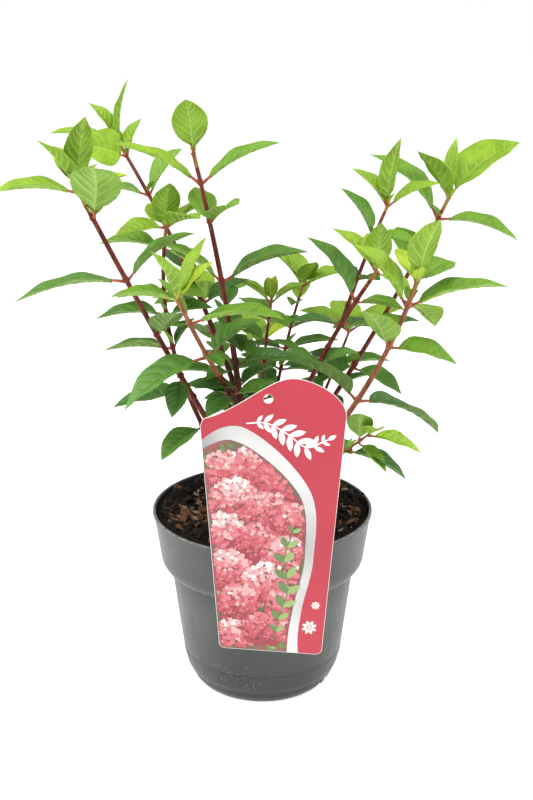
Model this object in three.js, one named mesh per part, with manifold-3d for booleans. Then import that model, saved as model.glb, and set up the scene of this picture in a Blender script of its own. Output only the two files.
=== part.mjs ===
import * as THREE from "three";
import { mergeVertices } from "three/addons/utils/BufferGeometryUtils.js";
import Module from "manifold-3d";

// A potted panicle hydrangea: nursery pot, soil plug, plant label, short trunk, boughs and leafy shoots.
// Millimetres, +Z up. The origin is the middle of the pot's flat underside, and -Y is the label's side.

const wasm = await Module();
wasm.setup();

// Driving dimensions. "gap" parts neighbours, and "limbRoom" is the room cut round a limb.
const gap = 0.3;
const limbRoom = 0.65;
const pot = {
  rimRadius: 95, height: 159.2, lipWidth: 1, lipFoot: 155.8, lipTop: 156.6,
  collarRadius: 89.2, collarFoot: 122, shoulderRadius: 79.9, shoulder: 107.5, shoulderTurns: [0, 45, 90],
  bodyTop: [79.4, 103], bodyFoot: [69.9, 26], base: [[57.8, 0], [62.2, 5], [67.4, 16]],
  wall: 1.7, floor: 3, floorRadius: 57, sides: 32,
  notchTurns: [25, 68, 112, 156, 197, 331], notchWidth: 15, notchHeight: 8, notchDepth: 7,
};
const soil = {
  level: 148, rings: [1, 0.8, 0.6, 0.4, 0.2], seatRadius: 18,
  bump: 2.2, bumpLength: [11, 8.8], ridge: 0.9, ridgeLength: 7,
};
const label = {
  thick: 0.8, bottom: 68, slant: 6, bottomLeft: -35.4, bottomRight: 49.3, corner: 6,
  shoulder: 276, topLeft: -47.9, topRight: 65.8, apex: 24, top: 307.5,
  crownRise: [9, 18], crownReach: [34, 18, 14], shoulderRound: [7, 10],
  hole: [5, 291], holeRadius: 3.6, tongueWidth: 24, tongueDrop: 7.5, curveSegments: 8,
};
const trunk = {
  foot: [0, 0], tip: [-19, -8], top: 262, base: 7.5, neck: 3.4, taper: 0.7,
  flare: 6.5, flareFade: 14, sides: 10, steps: 9,
};
const [boughSides, boughSteps, stemSides, stemSteps] = [8, 4, 6, 5];

// Leaves: "reach" is the straight way from stem to tip. Petiole and width are shares of the reach, and a
// leaf bends and unfolds as it grows longer. Stations are shares of the blade where it has a section.
const leaf = {
  sunk: 1.5, petiole: 0.13, width: 0.55, stations: [0, 0.12, 0.4, 0.74, 1],
  stalk: [0.9, 0.72], thick: 0.0105, tip: 0.35, base: 0.6, taper: 1.05,
  bendYoung: 4, bendPerReach: 0.5, foldYoung: 30, foldPerReach: 0.2,
  turnJitter: 6, rollJitter: 13, bendJitter: 0.22, simplify: 0.1,
};

// Each shoot rises from its foot to its tip and bows out in the middle. Above "leafy" (a share of its
// way up) it is a leafy mass, and below it a bare bough. A pair of leaves is written as
// [share of the way up, turn of the first leaf, its rise, its reach, rise and reach of the opposite one],
// with turns counted anticlockwise from +X, angles in degrees, and a reach of 0 for a leaf not there. A pair
// may end in how broad each leaf is, as shares of the usual width.
const shoots = {
  far_left: {
    foot: [-5, -3, 168], tip: [-143, -46, 447], bow: [0, 0, -8], thick: [2.8, 1.9], leafy: 0.42,
    pairs: [
      [0.45, 262, -38, 40, 0, 0], [0.58, 305, 36, 50, 0, 0], [0.745, 190, -7, 91, 34, 66],
      [0.915, 277, 40, 78, 24, 38, 0.95], [0.985, 188, 2, 66, 20, 40], [1, 300, 70, 60, 34, 48, 0.72, 0.8], [1, 225, 50, 52, 38, 26, 0.8],
    ],
  },
  left: {
    foot: [-6, 3, 158], tip: [-79, 22, 401], bow: [-28, 0, 0], thick: [2.5, 1.5], leafy: 0.27,
    pairs: [
      [0.3, 225, -22, 50, 0, 0], [0.42, 181, -11, 66, 0, 0], [0.58, 182, 0, 58, 55, 33], [0.7, 182, -4, 60, 10, 40],
      [0.76, 146, -9, 52, 8, 44], [0.93, 165, 0, 58, -30, 34], [1, 205, -3, 46, 24, 50],
      [1, 304, 17, 54, 20, 40], [1, 273, 70, 42, 60, 36],
    ],
  },
  tall_centre: {
    foot: [-18.2, -7.6, 256], tip: [-55, 6, 464], bow: [3.5, 0, 0], thick: [2.7, 1.7], leafy: 0.14,
    pairs: [
      [0.17, 352, 9, 50, 22, 30], [0.3, 280, -10, 36, 10, 44], [0.5, 357, 21, 76, 31, 62],
      [0.735, 300, 28, 48, 32, 44, 1.1], [0.885, 8, 27, 72, 24, 80, 0.62, 0.75], [1, 271, 60, 54, 62, 44],
    ],
  },
  upper_left: {
    foot: [-18.5, -7.5, 256], tip: [-124, 95, 458], bow: [8, 0, 0], thick: [2.5, 1.5], leafy: 0.34,
    pairs: [
      [0.38, 188, 10, 44, 24, 46], [0.5, 110, 10, 52, 5, 40], [0.8, 180, 6, 56, 55, 50],
      [0.95, 232, 22, 46, 60, 36, 1.35], [1, 345, 80, 57, 52, 44, 0.6, 0.9], [1, 188, 10, 60, 0, 0, 0.6],
    ],
  },
  front_left: {
    foot: [-18, -8, 252], tip: [-65, -70, 364], bow: [-3, 0, 0], thick: [2.3, 1.7], leafy: 0.12,
    pairs: [
      [0.14, 236, -12, 38, 0, 0], [0.15, 170, 6, 42, 3, 52], [0.5, 199, -30, 80, 30, 54], [0.52, 296, -6, 28, 0, 0],
      [0.79, 350, 6, 76, 55, 44], [1, 186, 4, 52, 46, 40], [1, 234, 55, 54, 50, 56, 0.85, 0.5],
    ],
  },
  back_centre: {
    foot: [3.5, 6, 168], tip: [36, 71, 339], bow: [-7, 0, 0], thick: [1.8, 1.1], leafy: 0.56,
    pairs: [
      [0.6, 330, 4, 46, 8, 44], [0.7, 350, 10, 48, 0, 40], [0.8, 320, 20, 40, 4, 42], [0.92, 75, 20, 34, 10, 30],
      [1, 345, 22, 42, 46, 40], [1, 295, 50, 34, 52, 36],
    ],
  },
  back_thin: {
    foot: [-1.5, 6.5, 172], tip: [8, 46, 331], bow: [-4, 0, 0], thick: [1.7, 1.1], leafy: 0.5,
    pairs: [
      [0.55, 256, 4, 44, 16, 32], [0.68, 160, 24, 40, 10, 36], [0.8, 330, -10, 34, 14, 36],
      [0.9, 300, 5, 34, 10, 50], [1, 345, 31, 35, 32, 35], [1, 250, 70, 26, 66, 24],
    ],
  },
  right_centre: {
    foot: [6.5, 0, 166], tip: [94, -5, 370], bow: [-13, 0, 0], thick: [2.6, 1.8], leafy: 0.76,
    pairs: [
      [0.78, 6, -6, 50, 6, 44], [0.875, 330, -2, 44, 45, 68], [1, 150, 38, 52, -26, 36],
      [1, 285, 78, 44, 50, 36],
    ],
  },
  right_fork: {
    foot: [65.5, 2, 320], tip: [106, 50, 413], bow: [-2, 0, 0], thick: [2, 1.4], leafy: 0.3,
    pairs: [
      [0.4, 300, 10, 30, 0, 34], [0.74, 170, 55, 50, -6, 38], [1, 175, 46, 44, 25, 48], [1, 300, 78, 60, 40, 28, 0.62],
    ],
  },
  far_right: {
    foot: [6, 3.5, 171], tip: [162, 88, 412], bow: [8, 6, 0], thick: [2.6, 1.7], leafy: 0.39,
    pairs: [
      [0.42, 326, -21, 50, 8, 46], [0.43, 215, -14, 46, 0, 0], [0.56, 200, 4, 44, 2, 40], [0.77, 285, -4, 38, 32, 48],
      [0.93, 163, 41, 82, -11, 72], [1, 25, 32, 84, 52, 56], [1, 240, 70, 26, 72, 54, 0.8, 0.5],
    ],
  },
  front_right: {
    foot: [7, -4.5, 162], tip: [119, -72, 378], bow: [15, 0, 0], thick: [2.9, 1.9], leafy: 0.44,
    pairs: [
      [0.5, 200, 34, 70, -27, 86], [0.73, 262, 52, 58, 30, 40], [0.735, 356, -13, 56, 0, 0],
      [0.9, 0, 10, 82, 50, 66], [0.91, 60, -30, 60, 0, 0], [1, 290, 60, 64, 30, 40, 0.75], [1, 58, 5, 60, 0, 0],
    ],
  },
  low_right: {
    foot: [7, -6.5, 155], tip: [86, -62, 249], bow: [-3, 0, 0], thick: [1.7, 1], leafy: 0.78,
    pairs: [
      [0.82, 350, -24, 54, 0, 0], [0.92, 330, -40, 34, 0, 0], [0.93, 268, 52, 42, 0, 0],
      [1, 3, -21, 48, 0, 0], [1, 293, 27, 34, 0, 0],
    ],
  },
  rear_left: {
    foot: [-5, 5.5, 160], tip: [-53, 105, 315], bow: [0, 4, -10], thick: [2, 1.2], leafy: 0.62,
    pairs: [
      [0.68, 190, 4, 46, 6, 50], [0.82, 100, 0, 56, 0, 40], [1, 20, 16, 52, 4, 48], [1, 100, 20, 54, 40, 44],
    ],
  },
  rear: {
    foot: [0, 8, 155], tip: [-4, 130, 268], bow: [0, 4, -12], thick: [2, 1.2], leafy: 0.62,
    pairs: [
      [0.7, 10, 6, 54, 4, 52], [0.84, 95, -10, 50, 20, 36], [1, 30, 16, 50, 14, 50], [1, 115, 24, 52, 44, 40],
    ],
  },
  rear_right: {
    foot: [5, 6, 158], tip: [79, 100, 289], bow: [0, 4, -11], thick: [2, 1.2], leafy: 0.6,
    pairs: [
      [0.66, 118, 2, 50, 0, 40], [0.82, 10, 4, 52, 6, 50], [1, 95, 16, 54, 30, 40], [1, 0, 24, 50, 24, 50],
    ],
  },
};

const finish = {
  pot: { color: 0x6e736f, roughness: 0.55 },
  soil: { color: 0x2b211b, roughness: 0.95 },
  plant_label: { color: 0xd6475a, roughness: 0.4 },
  trunk: { color: 0x6b2a20, roughness: 0.6 },
  bough: { color: 0x6b2a20, roughness: 0.6 },
  leaves: { color: 0x5f9a35, roughness: 0.55 },
};

const radians = (degrees) => (degrees * Math.PI) / 180;
const mix = (a, b, t) => a + (b - a) * t;
const vector = (numbers) => new THREE.Vector3(...numbers);

// A repeatable random number from 0 to 1
function dice(seed) {
  let state = (seed * 7919 + 17) >>> 0;
  return () => {
    state = (Math.imul(state, 1664525) + 1013904223) >>> 0;
    return state / 4294967296;
  };
}

// A closed geometry as a solid, and a solid as a geometry
function toSolid(geometry) {
  geometry.deleteAttribute("normal");
  geometry.deleteAttribute("uv");
  const merged = mergeVertices(geometry, 1e-4);
  const vertProperties = new Float32Array(merged.attributes.position.array);
  const triVerts = new Uint32Array(merged.index.array);
  return new wasm.Manifold(new wasm.Mesh({ numProp: 3, vertProperties, triVerts }));
}

function toGeometry(solid) {
  const { vertProperties, triVerts } = solid.getMesh();
  const geometry = new THREE.BufferGeometry();
  geometry.setAttribute("position", new THREE.BufferAttribute(vertProperties, 3));
  geometry.setIndex(new THREE.BufferAttribute(triVerts, 1));
  return geometry;
}

// A closed cylinder whose rings are carried to place(t, x, y): t runs 0 to 1 along it, x and y round it
function sweep(sides, steps, place) {
  const geometry = new THREE.CylinderGeometry(1, 1, 1, sides, steps);
  const position = geometry.attributes.position;
  for (let i = 0; i < position.count; i++) {
    const t = position.getY(i) + 0.5;
    const point = place(t, position.getX(i), position.getZ(i));
    position.setXYZ(i, point.x, point.y, point.z);
  }
  return toSolid(geometry);
}

// A round limb along a curve from share "from" to share "to", with its radius at each share
function limb(curve, from, to, radiusAt, sides, steps) {
  return sweep(sides, steps, (t, x, y) => {
    const share = mix(from, to, t);
    const along = curve.getTangent(Math.min(share, 1));
    const across = new THREE.Vector3(0, 1, 0).cross(along).normalize();
    const out = along.clone().cross(across);
    const radius = radiusAt(share);
    return curve.getPoint(share).addScaledVector(across, x * radius).addScaledVector(out, -y * radius);
  });
}

// A nursery pot's outside from its foot up: tapered body, rounded shoulder, wide collar and a lip
function outerWall() {
  const shoulder = pot.shoulderTurns.map((turn) => {
    const out = Math.sin(radians(turn));
    const up = 1 - Math.cos(radians(turn));
    return [mix(pot.shoulderRadius, pot.collarRadius, out), mix(pot.shoulder, pot.collarFoot, up)];
  });
  const { rimRadius, lipWidth, lipFoot, lipTop, height } = pot;
  const lip = [[rimRadius - lipWidth, lipFoot], [rimRadius, lipTop], [rimRadius, height]];
  return [...pot.base, pot.bodyFoot, pot.bodyTop, ...shoulder, ...lip];
}

function innerWall() {
  const body = outerWall().slice(pot.base.length, -3).map(([r, z]) => [r - pot.wall, z]);
  return [[pot.floorRadius, pot.floor], ...body, [pot.rimRadius - pot.lipWidth - pot.wall, pot.height]];
}

function innerRadius(height) {
  const wall = innerWall();
  const above = wall.findIndex(([, z]) => z > height);
  const [[lowerRadius, lower], [upperRadius, upper]] = wall.slice(above - 1, above + 1);
  return mix(lowerRadius, upperRadius, (height - lower) / (upper - lower));
}

function makePot() {
  const profile = [[0, 0], ...outerWall(), ...innerWall().reverse(), [0, pot.floor]];
  const points = profile.map(([r, z]) => new THREE.Vector2(r, z));
  const shell = toSolid(new THREE.LatheGeometry(points, pot.sides).rotateX(Math.PI / 2));
  const cutters = pot.notchTurns.map((turn) => {
    const box = new THREE.BoxGeometry(pot.notchDepth * 2, pot.notchWidth, pot.notchHeight * 2);
    box.translate(pot.base[0][0], 0, 0).rotateZ(radians(turn));
    return toSolid(box);
  });
  return shell.subtract(wasm.Manifold.union(cutters));
}

// The soil's top is lumpy, but level where the trunk stands and along the pot's wall
function soilHeight(x, y) {
  const away = Math.min(1, Math.max(0, Math.hypot(x, y) / soil.seatRadius - 1));
  const bump = soil.bump * Math.sin(x / soil.bumpLength[0] + 1) * Math.cos(y / soil.bumpLength[1]);
  return soil.level + away * (bump + soil.ridge * Math.sin((x + y) / soil.ridgeLength));
}

function makeSoil() {
  const wall = innerWall().filter(([, z]) => z < soil.level).map(([r, z]) => [r - gap, z + gap]);
  const edge = innerRadius(soil.level) - gap;
  const rings = soil.rings.map((part) => [edge * part, soil.level]);
  const profile = [[0, pot.floor + gap], ...wall, ...rings, [0, soil.level]];
  const points = profile.map(([r, z]) => new THREE.Vector2(r, z));
  const geometry = new THREE.LatheGeometry(points, pot.sides).rotateX(Math.PI / 2);
  const position = geometry.attributes.position;
  const insideEdge = edge - gap;
  for (let i = 0; i < position.count; i++) {
    const [x, y, z] = [position.getX(i), position.getY(i), position.getZ(i)];
    const onTop = z > soil.level - gap && Math.hypot(x, y) < insideEdge;
    if (onTop) position.setZ(i, soilHeight(x, y));
  }
  return toSolid(geometry);
}

// A stiff printed card in front of the pot, wider at the top and rising in an arch to the right
function cardOutline() {
  const { bottom, slant, bottomLeft, bottomRight, corner, shoulder, topLeft, topRight, apex, top } = label;
  const [leftRise, rightRise] = label.crownRise;
  const [leftReach, apexLeft, apexRight] = label.crownReach;
  const [roundWide, roundHigh] = label.shoulderRound;
  const outline = new THREE.Shape();
  outline.moveTo(bottomLeft + corner, bottom + slant);
  outline.lineTo(bottomRight - corner, bottom);
  outline.quadraticCurveTo(bottomRight, bottom, bottomRight, bottom + corner);
  outline.lineTo(topRight, shoulder);
  outline.bezierCurveTo(topRight, shoulder + rightRise, apex + apexRight, top, apex, top);
  outline.bezierCurveTo(apex - apexLeft, top, topLeft + leftReach, shoulder + leftRise, topLeft + roundWide, shoulder);
  outline.quadraticCurveTo(topLeft, shoulder, topLeft, shoulder - roundHigh);
  outline.lineTo(bottomLeft, bottom + slant + corner);
  outline.quadraticCurveTo(bottomLeft, bottom + slant, bottomLeft + corner, bottom + slant);
  outline.holes.push(new THREE.Path().absarc(...label.hole, label.holeRadius, 0, 2 * Math.PI, true));
  return outline;
}

// The tongue behind the card, bent over the pot's rim to hold it
function makeTongue(back) {
  const over = pot.height + gap;
  const foot = over - label.tongueDrop;
  const facet = innerRadius(foot) * Math.cos(Math.PI / pot.sides);
  const inside = gap - Math.sqrt(facet ** 2 - (label.tongueWidth / 2) ** 2);
  const hook = new THREE.Shape();
  hook.moveTo(back - label.thick / 2, over);
  hook.lineTo(inside, over);
  hook.lineTo(inside, foot);
  hook.lineTo(inside + label.thick, foot);
  hook.lineTo(inside + label.thick, over + label.thick);
  hook.lineTo(back - label.thick / 2, over + label.thick);
  const tongue = new THREE.ExtrudeGeometry(hook, { depth: label.tongueWidth, bevelEnabled: false });
  const axes = [[0, 1, 0], [0, 0, 1], [1, 0, 0]].map(vector);
  tongue.applyMatrix4(new THREE.Matrix4().makeBasis(...axes));
  return tongue.translate(-label.tongueWidth / 2, 0, 0);
}

function makeLabel() {
  const { thick, curveSegments } = label;
  const back = -pot.rimRadius - gap;
  const card = new THREE.ExtrudeGeometry(cardOutline(), { depth: thick, bevelEnabled: false, curveSegments });
  card.rotateX(Math.PI / 2).translate(0, back, 0);
  return toSolid(card).add(toSolid(makeTongue(back)));
}

// The trunk leans from its flared foot on the soil to the fork of the three middle boughs
function trunkLimb(grow) {
  const start = vector([...trunk.foot, soil.level + gap - grow]);
  const end = vector([...trunk.tip, trunk.top]);
  const middle = vector([...trunk.foot, mix(start.z, end.z, 0.5)]);
  const curve = new THREE.QuadraticBezierCurve3(start, middle, end);
  const radiusAt = (share) => {
    const flare = trunk.flare * Math.exp(-share * trunk.flareFade);
    return mix(trunk.base, trunk.neck, share ** trunk.taper) + flare + grow;
  };
  return limb(curve, 0, 1 + grow / curve.getLength(), radiusAt, trunk.sides, trunk.steps);
}

// A shoot's curve passes its middle point moved over by "bow"
function shootCurve({ foot, tip, bow }) {
  const [start, end] = [vector(foot), vector(tip)];
  const middle = start.clone().lerp(end, 0.5).addScaledVector(vector(bow), 2);
  return new THREE.QuadraticBezierCurve3(start, middle, end);
}

// Leaf outline: half its width at share u of the blade, rounded at the foot and drawn out at the tip
function halfWidth(u) {
  const { base, taper } = leaf;
  const widest = base / (base + taper);
  return (u / widest) ** base * ((1 - u) / (1 - widest)) ** taper;
}

// One leaf: a stalk and a blade folded on its midrib, bent in an arc whose ends are "reach" apart
function makeLeaf(root, turn, rise, reach, roll, bend, broad) {
  const [t, r] = [radians(turn), radians(rise)];
  const ahead = vector([Math.cos(r) * Math.cos(t), Math.cos(r) * Math.sin(t), Math.sin(r)]);
  const up = vector([-Math.sin(r) * Math.cos(t), -Math.sin(r) * Math.sin(t), Math.cos(r)]);
  up.applyAxisAngle(ahead, radians(roll));
  const side = ahead.clone().cross(up);
  const half = radians(bend) / 2;
  const radius = reach / (2 * Math.sin(half));
  const fold = radians(leaf.foldYoung - leaf.foldPerReach * reach);
  const sections = [0, ...leaf.stations.map((u) => mix(leaf.petiole, 1, u))];
  const last = sections.length - 1;
  return sweep(4, last, (place, x, y) => {
    const index = Math.round(place * last);
    const angle = (2 * sections[index] - 1) * half;
    const centre = root.clone().addScaledVector(ahead, reach / 2 + radius * Math.sin(angle));
    centre.addScaledVector(up, radius * (Math.cos(angle) - Math.cos(half)));
    const normal = ahead.clone().multiplyScalar(Math.sin(angle)).addScaledVector(up, Math.cos(angle));
    const [wide, thick] = index === last ? [leaf.tip, leaf.tip] : sectionSize(index, reach, broad);
    const turned = index > 1 ? fold : 0;
    const lift = Math.abs(x) * wide * Math.sin(turned) + y * thick;
    return centre.addScaledVector(side, x * wide * Math.cos(turned)).addScaledVector(normal, lift);
  });
}

// Half the width and half the thickness of a leaf's section: first the stalk, then the blade
function sectionSize(index, reach, broad) {
  const outline = index > 0 ? halfWidth(leaf.stations[index - 1]) : 0;
  const wide = (reach * leaf.width * broad * outline) / 2;
  return [Math.max(leaf.stalk[0], wide), Math.max(leaf.stalk[1], reach * leaf.thick)];
}

const boxesMeet = (a, b) => {
  const [p, q] = [a.boundingBox(), b.boundingBox()];
  return [0, 1, 2].every((i) => p.min[i] < q.max[i] + gap && q.min[i] < p.max[i] + gap);
};
const isClear = (solid, taken) => taken.every((other) => !boxesMeet(solid, other) || solid.minGap(other, gap) >= gap);

// The leaves of a shoot, in crossed pairs, leaving out a leaf that would touch a neighbour
function growLeaves(index, { curve, pairs }, taken) {
  const roll = dice(index + 1);
  const spread = (size) => (roll() * 2 - 1) * size;
  const sunk = leaf.sunk / curve.getLength();
  const grown = [];
  for (const [share, turn, ...opposite] of pairs) {
    const [rise, reach, otherRise, otherReach, broad = 1, otherBroad = 1] = opposite;
    for (const [side, up, long, wide] of [[0, rise, reach, broad], [180, otherRise, otherReach, otherBroad]]) {
      const heading = turn + side + spread(leaf.turnJitter);
      const tilt = spread(leaf.rollJitter);
      const bend = (leaf.bendYoung + leaf.bendPerReach * long) * (1 + spread(leaf.bendJitter));
      if (long === 0) continue;
      const root = curve.getPoint(share - sunk);
      const blade = makeLeaf(root, heading, up, long, tilt, bend, wide);
      if (isClear(blade, taken)) grown.push(blade);
    }
  }
  return grown;
}

// Each shoot's bare bough, cut clear of the trunk and of the boughs before it, and the stem of its mass
function growBoughs() {
  const limbs = [trunkLimb(limbRoom)];
  return Object.entries(shoots).map(([name, shoot]) => {
    const curve = shootCurve(shoot);
    const radiusAt = (share) => mix(...shoot.thick, share);
    const roomAt = (share) => radiusAt(share) + limbRoom;
    const end = shoot.leafy - gap / curve.getLength();
    const whole = limb(curve, 0, end, radiusAt, boughSides, boughSteps);
    const cut = whole.subtract(wasm.Manifold.union(limbs.filter((other) => boxesMeet(whole, other))));
    const [bough] = cut.decompose().sort((a, b) => b.volume() - a.volume());
    const stem = limb(curve, shoot.leafy, 1, radiusAt, stemSides, stemSteps);
    limbs.push(limb(curve, 0, shoot.leafy, roomAt, boughSides, boughSteps));
    return { name, curve, pairs: shoot.pairs, bough, stem };
  });
}

// Each mass of leaves keeps clear of every limb and of the masses before it
function growMasses(boughs, others) {
  const masses = [];
  boughs.forEach((shoot, index) => {
    const neighbours = boughs.filter((other) => other !== shoot);
    const limbs = [shoot.bough, ...neighbours.flatMap((other) => [other.bough, other.stem])];
    const leaves = growLeaves(index, shoot, [...others, ...limbs, ...masses]);
    masses.push(wasm.Manifold.union([shoot.stem, ...leaves]).simplify(leaf.simplify));
  });
  return masses;
}

function addPart(group, name, solid, { color, roughness }) {
  const material = new THREE.MeshStandardMaterial({ color, roughness, metalness: 0 });
  const mesh = new THREE.Mesh(toGeometry(solid), material);
  mesh.name = name;
  group.add(mesh);
}

const plant = new THREE.Group();
const fixtures = { pot: makePot(), soil: makeSoil(), plant_label: makeLabel(), trunk: trunkLimb(0) };
const boughs = growBoughs();
const masses = growMasses(boughs, Object.values(fixtures));
for (const [name, solid] of Object.entries(fixtures)) addPart(plant, name, solid, finish[name]);
for (const { name, bough } of boughs) addPart(plant, `bough_${name}`, bough, finish.bough);
boughs.forEach(({ name }, index) => addPart(plant, `leaves_${name}`, masses[index], finish.leaves));

export default plant;
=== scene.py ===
import math
import bpy
import numpy as np
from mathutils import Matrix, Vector
from mathutils.geometry import tessellate_polygon


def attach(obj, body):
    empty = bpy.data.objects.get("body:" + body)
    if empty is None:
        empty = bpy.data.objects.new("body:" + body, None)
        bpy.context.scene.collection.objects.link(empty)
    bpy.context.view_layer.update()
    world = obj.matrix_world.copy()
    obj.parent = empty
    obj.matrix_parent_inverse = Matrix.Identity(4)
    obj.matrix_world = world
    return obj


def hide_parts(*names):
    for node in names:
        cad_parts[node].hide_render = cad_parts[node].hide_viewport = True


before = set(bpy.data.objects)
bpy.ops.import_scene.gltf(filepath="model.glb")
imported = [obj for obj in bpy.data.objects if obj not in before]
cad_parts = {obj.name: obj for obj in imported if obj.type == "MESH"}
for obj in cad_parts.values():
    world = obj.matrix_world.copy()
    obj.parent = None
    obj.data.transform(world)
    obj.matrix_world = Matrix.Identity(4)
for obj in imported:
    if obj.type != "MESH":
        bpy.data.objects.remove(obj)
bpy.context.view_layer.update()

# A potted panicle hydrangea. Shapes are worked out in millimetres and go into the meshes in metres.
mm = 0.001
gap = 0.3                # between neighbouring pieces, as in the source
fullTurn = 2 * math.pi
upward = np.array([0, 0, 1])
patternRange = (0.3, 0.7)  # most of a noise pattern lies between these values

# The camera stands in front of the label, a little above the plant, and looks down on it.
cameraSet = {"place": (3.6, -1098, 641), "pitch": 19.3, "lens": 61.97, "sensor": 36, "near": 0.05, "far": 60}
lightSet = {
    "air": 0.5, "backdrop": 1.0,
    "left": {"place": (-950, -60, 560), "size": (0.9, 1.2), "power": 9.5},
    "right": {"place": (950, -20, 520), "size": (0.9, 1.2), "power": 7.5},
    "top": {"place": (-80, -620, 1280), "size": (0.9, 0.7), "power": 11},
    "aim": (10, 0, 260),
}
floorSet = {
    "rings": (0.05, 0.5, 2.0, 6.0), "sides": 96, "drop": 0.2,  # rings in metres
    "color": (0.93, 0.93, 0.925), "roughness": (0.65, 0.8), "grain": 900, "glow": 0.62, "gloss": 0.1,
}


# An object in the scene, with its place in mm
def newObject(name, data, place=(0, 0, 0)):
    made = bpy.data.objects.new(name, data)
    made.location = [value * mm for value in place]
    bpy.context.scene.collection.objects.link(made)
    return made


# The camera looks along +Y, pitched down from level
def makeCamera():
    lens = bpy.data.cameras.new("viewCamera")
    lens.lens, lens.sensor_width, lens.sensor_fit = cameraSet["lens"], cameraSet["sensor"], "AUTO"
    lens.clip_start, lens.clip_end = cameraSet["near"], cameraSet["far"]
    eye = newObject("viewCamera", lens, cameraSet["place"])
    eye.rotation_euler = (math.radians(90 - cameraSet["pitch"]), 0, 0)
    bpy.context.scene.camera = eye


# Three rectangular lamps, each aimed at the middle of the plant
def makeLights():
    for name in ("left", "right", "top"):
        chosen = lightSet[name]
        lamp = bpy.data.lights.new(name + "Softbox", "AREA")
        lamp.shape, lamp.energy = "RECTANGLE", chosen["power"]
        lamp.size, lamp.size_y = chosen["size"]
        holder = newObject(name + "Softbox", lamp, chosen["place"])
        aim = Vector(lightSet["aim"]) * mm - holder.location
        holder.rotation_euler = aim.to_track_quat("-Z", "Y").to_euler()


# The air lights the plant softly from all round, and stands behind it as a white backdrop.
def makeAir():
    world = bpy.data.worlds.new("paleRoom")
    bpy.context.scene.world = world
    world.use_nodes = True
    nodes, links = world.node_tree.nodes, world.node_tree.links
    seen, lit, ray, chosen = (nodes.new(kind) for kind in (
        "ShaderNodeBackground", "ShaderNodeBackground", "ShaderNodeLightPath", "ShaderNodeMixShader"))
    seen.inputs["Strength"].default_value = lightSet["backdrop"]
    lit.inputs["Strength"].default_value = lightSet["air"]
    for air in (seen, lit):
        air.inputs["Color"].default_value = (1, 1, 1, 1)
    links.new(ray.outputs["Is Camera Ray"], chosen.inputs[0])
    links.new(lit.outputs[0], chosen.inputs[1])
    links.new(seen.outputs[0], chosen.inputs[2])
    links.new(chosen.outputs[0], nodes["World Output"].inputs["Surface"])
    bpy.context.scene.view_settings.view_transform = "Standard"


makeCamera()
makeLights()
makeAir()
print("camera, lights and air are set")


# A Principled surface with plain numbers and colours on its own sockets
def newFinish(name, color, roughness, **sockets):
    finish = bpy.data.materials.new(name)
    finish.use_nodes = True
    shader = finish.node_tree.nodes["Principled BSDF"]
    shader.inputs["Base Color"].default_value = (*color, 1)
    shader.inputs["Roughness"].default_value = roughness
    for socket, value in sockets.items():
        shader.inputs[socket].default_value = value
    finish.diffuse_color = (*color, 1)
    return finish


# Leads a value or pattern into a socket of the finish
def wire(finish, source, socket):
    shader = finish.node_tree.nodes["Principled BSDF"]
    finish.node_tree.links.new(source, shader.inputs[socket])


# A pattern in the piece's own space, "size" mm across and drawn out by "stretch"
def pattern(finish, size, stretch=(1, 1, 1), detail=3.0, kind="Noise", at=(0, 0, 0)):
    nodes, links = finish.node_tree.nodes, finish.node_tree.links
    where = nodes.new("ShaderNodeTexCoord")
    placed = nodes.new("ShaderNodeMapping")
    placed.inputs["Location"].default_value = at
    placed.inputs["Scale"].default_value = [1 / value for value in stretch]
    texture = nodes.new(f"ShaderNodeTex{kind}")
    texture.inputs["Scale"].default_value = 1 / (size * mm)
    if "Detail" in texture.inputs:
        texture.inputs["Detail"].default_value = detail
    links.new(where.outputs["Object"], placed.inputs["Vector"])
    links.new(placed.outputs["Vector"], texture.inputs["Vector"])
    return texture.outputs[0]


# Height above the floor, from 0 at "low" mm to 1 at "high" mm
def heightShare(finish, low, high):
    nodes, links = finish.node_tree.nodes, finish.node_tree.links
    where, parts = nodes.new("ShaderNodeTexCoord"), nodes.new("ShaderNodeSeparateXYZ")
    links.new(where.outputs["Object"], parts.inputs[0])
    return spreadOver(finish, parts.outputs["Z"], low * mm, high * mm, 0, 1)


# Values from low to high of a pattern, carried to the range from first to last
def spreadOver(finish, source, low, high, first, last):
    change = finish.node_tree.nodes.new("ShaderNodeMapRange")
    for socket, value in zip(("From Min", "From Max", "To Min", "To Max"), (low, high, first, last)):
        change.inputs[socket].default_value = value
    finish.node_tree.links.new(source, change.inputs["Value"])
    return change.outputs["Result"]


# Colours laid along a pattern at their stops
def colored(finish, source, stops):
    ramp = finish.node_tree.nodes.new("ShaderNodeValToRGB")
    marks = ramp.color_ramp.elements
    while len(marks) < len(stops):
        marks.new(0.5)
    for mark, (place, color) in zip(marks, stops):
        mark.position, mark.color = place, (*color, 1)
    finish.node_tree.links.new(source, ramp.inputs["Fac"])
    return ramp.outputs["Color"]


# One plain colour over a coloured pattern, by a factor from 0 to 1
def overlaid(finish, factor, under, over):
    blend = finish.node_tree.nodes.new("ShaderNodeMix")
    blend.data_type = "RGBA"
    finish.node_tree.links.new(factor, blend.inputs["Factor"])
    finish.node_tree.links.new(under, blend.inputs[6])
    blend.inputs[7].default_value = (*over, 1)
    return blend.outputs[2]


# Relief of a pattern: strength from 0 to 1, and its height in mm
def relief(finish, source, strength, height, before=None):
    bump = finish.node_tree.nodes.new("ShaderNodeBump")
    bump.inputs["Strength"].default_value = strength
    bump.inputs["Distance"].default_value = height * mm
    finish.node_tree.links.new(source, bump.inputs["Height"])
    if before is not None:
        finish.node_tree.links.new(before, bump.inputs["Normal"])
    return bump.outputs["Normal"]


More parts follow.
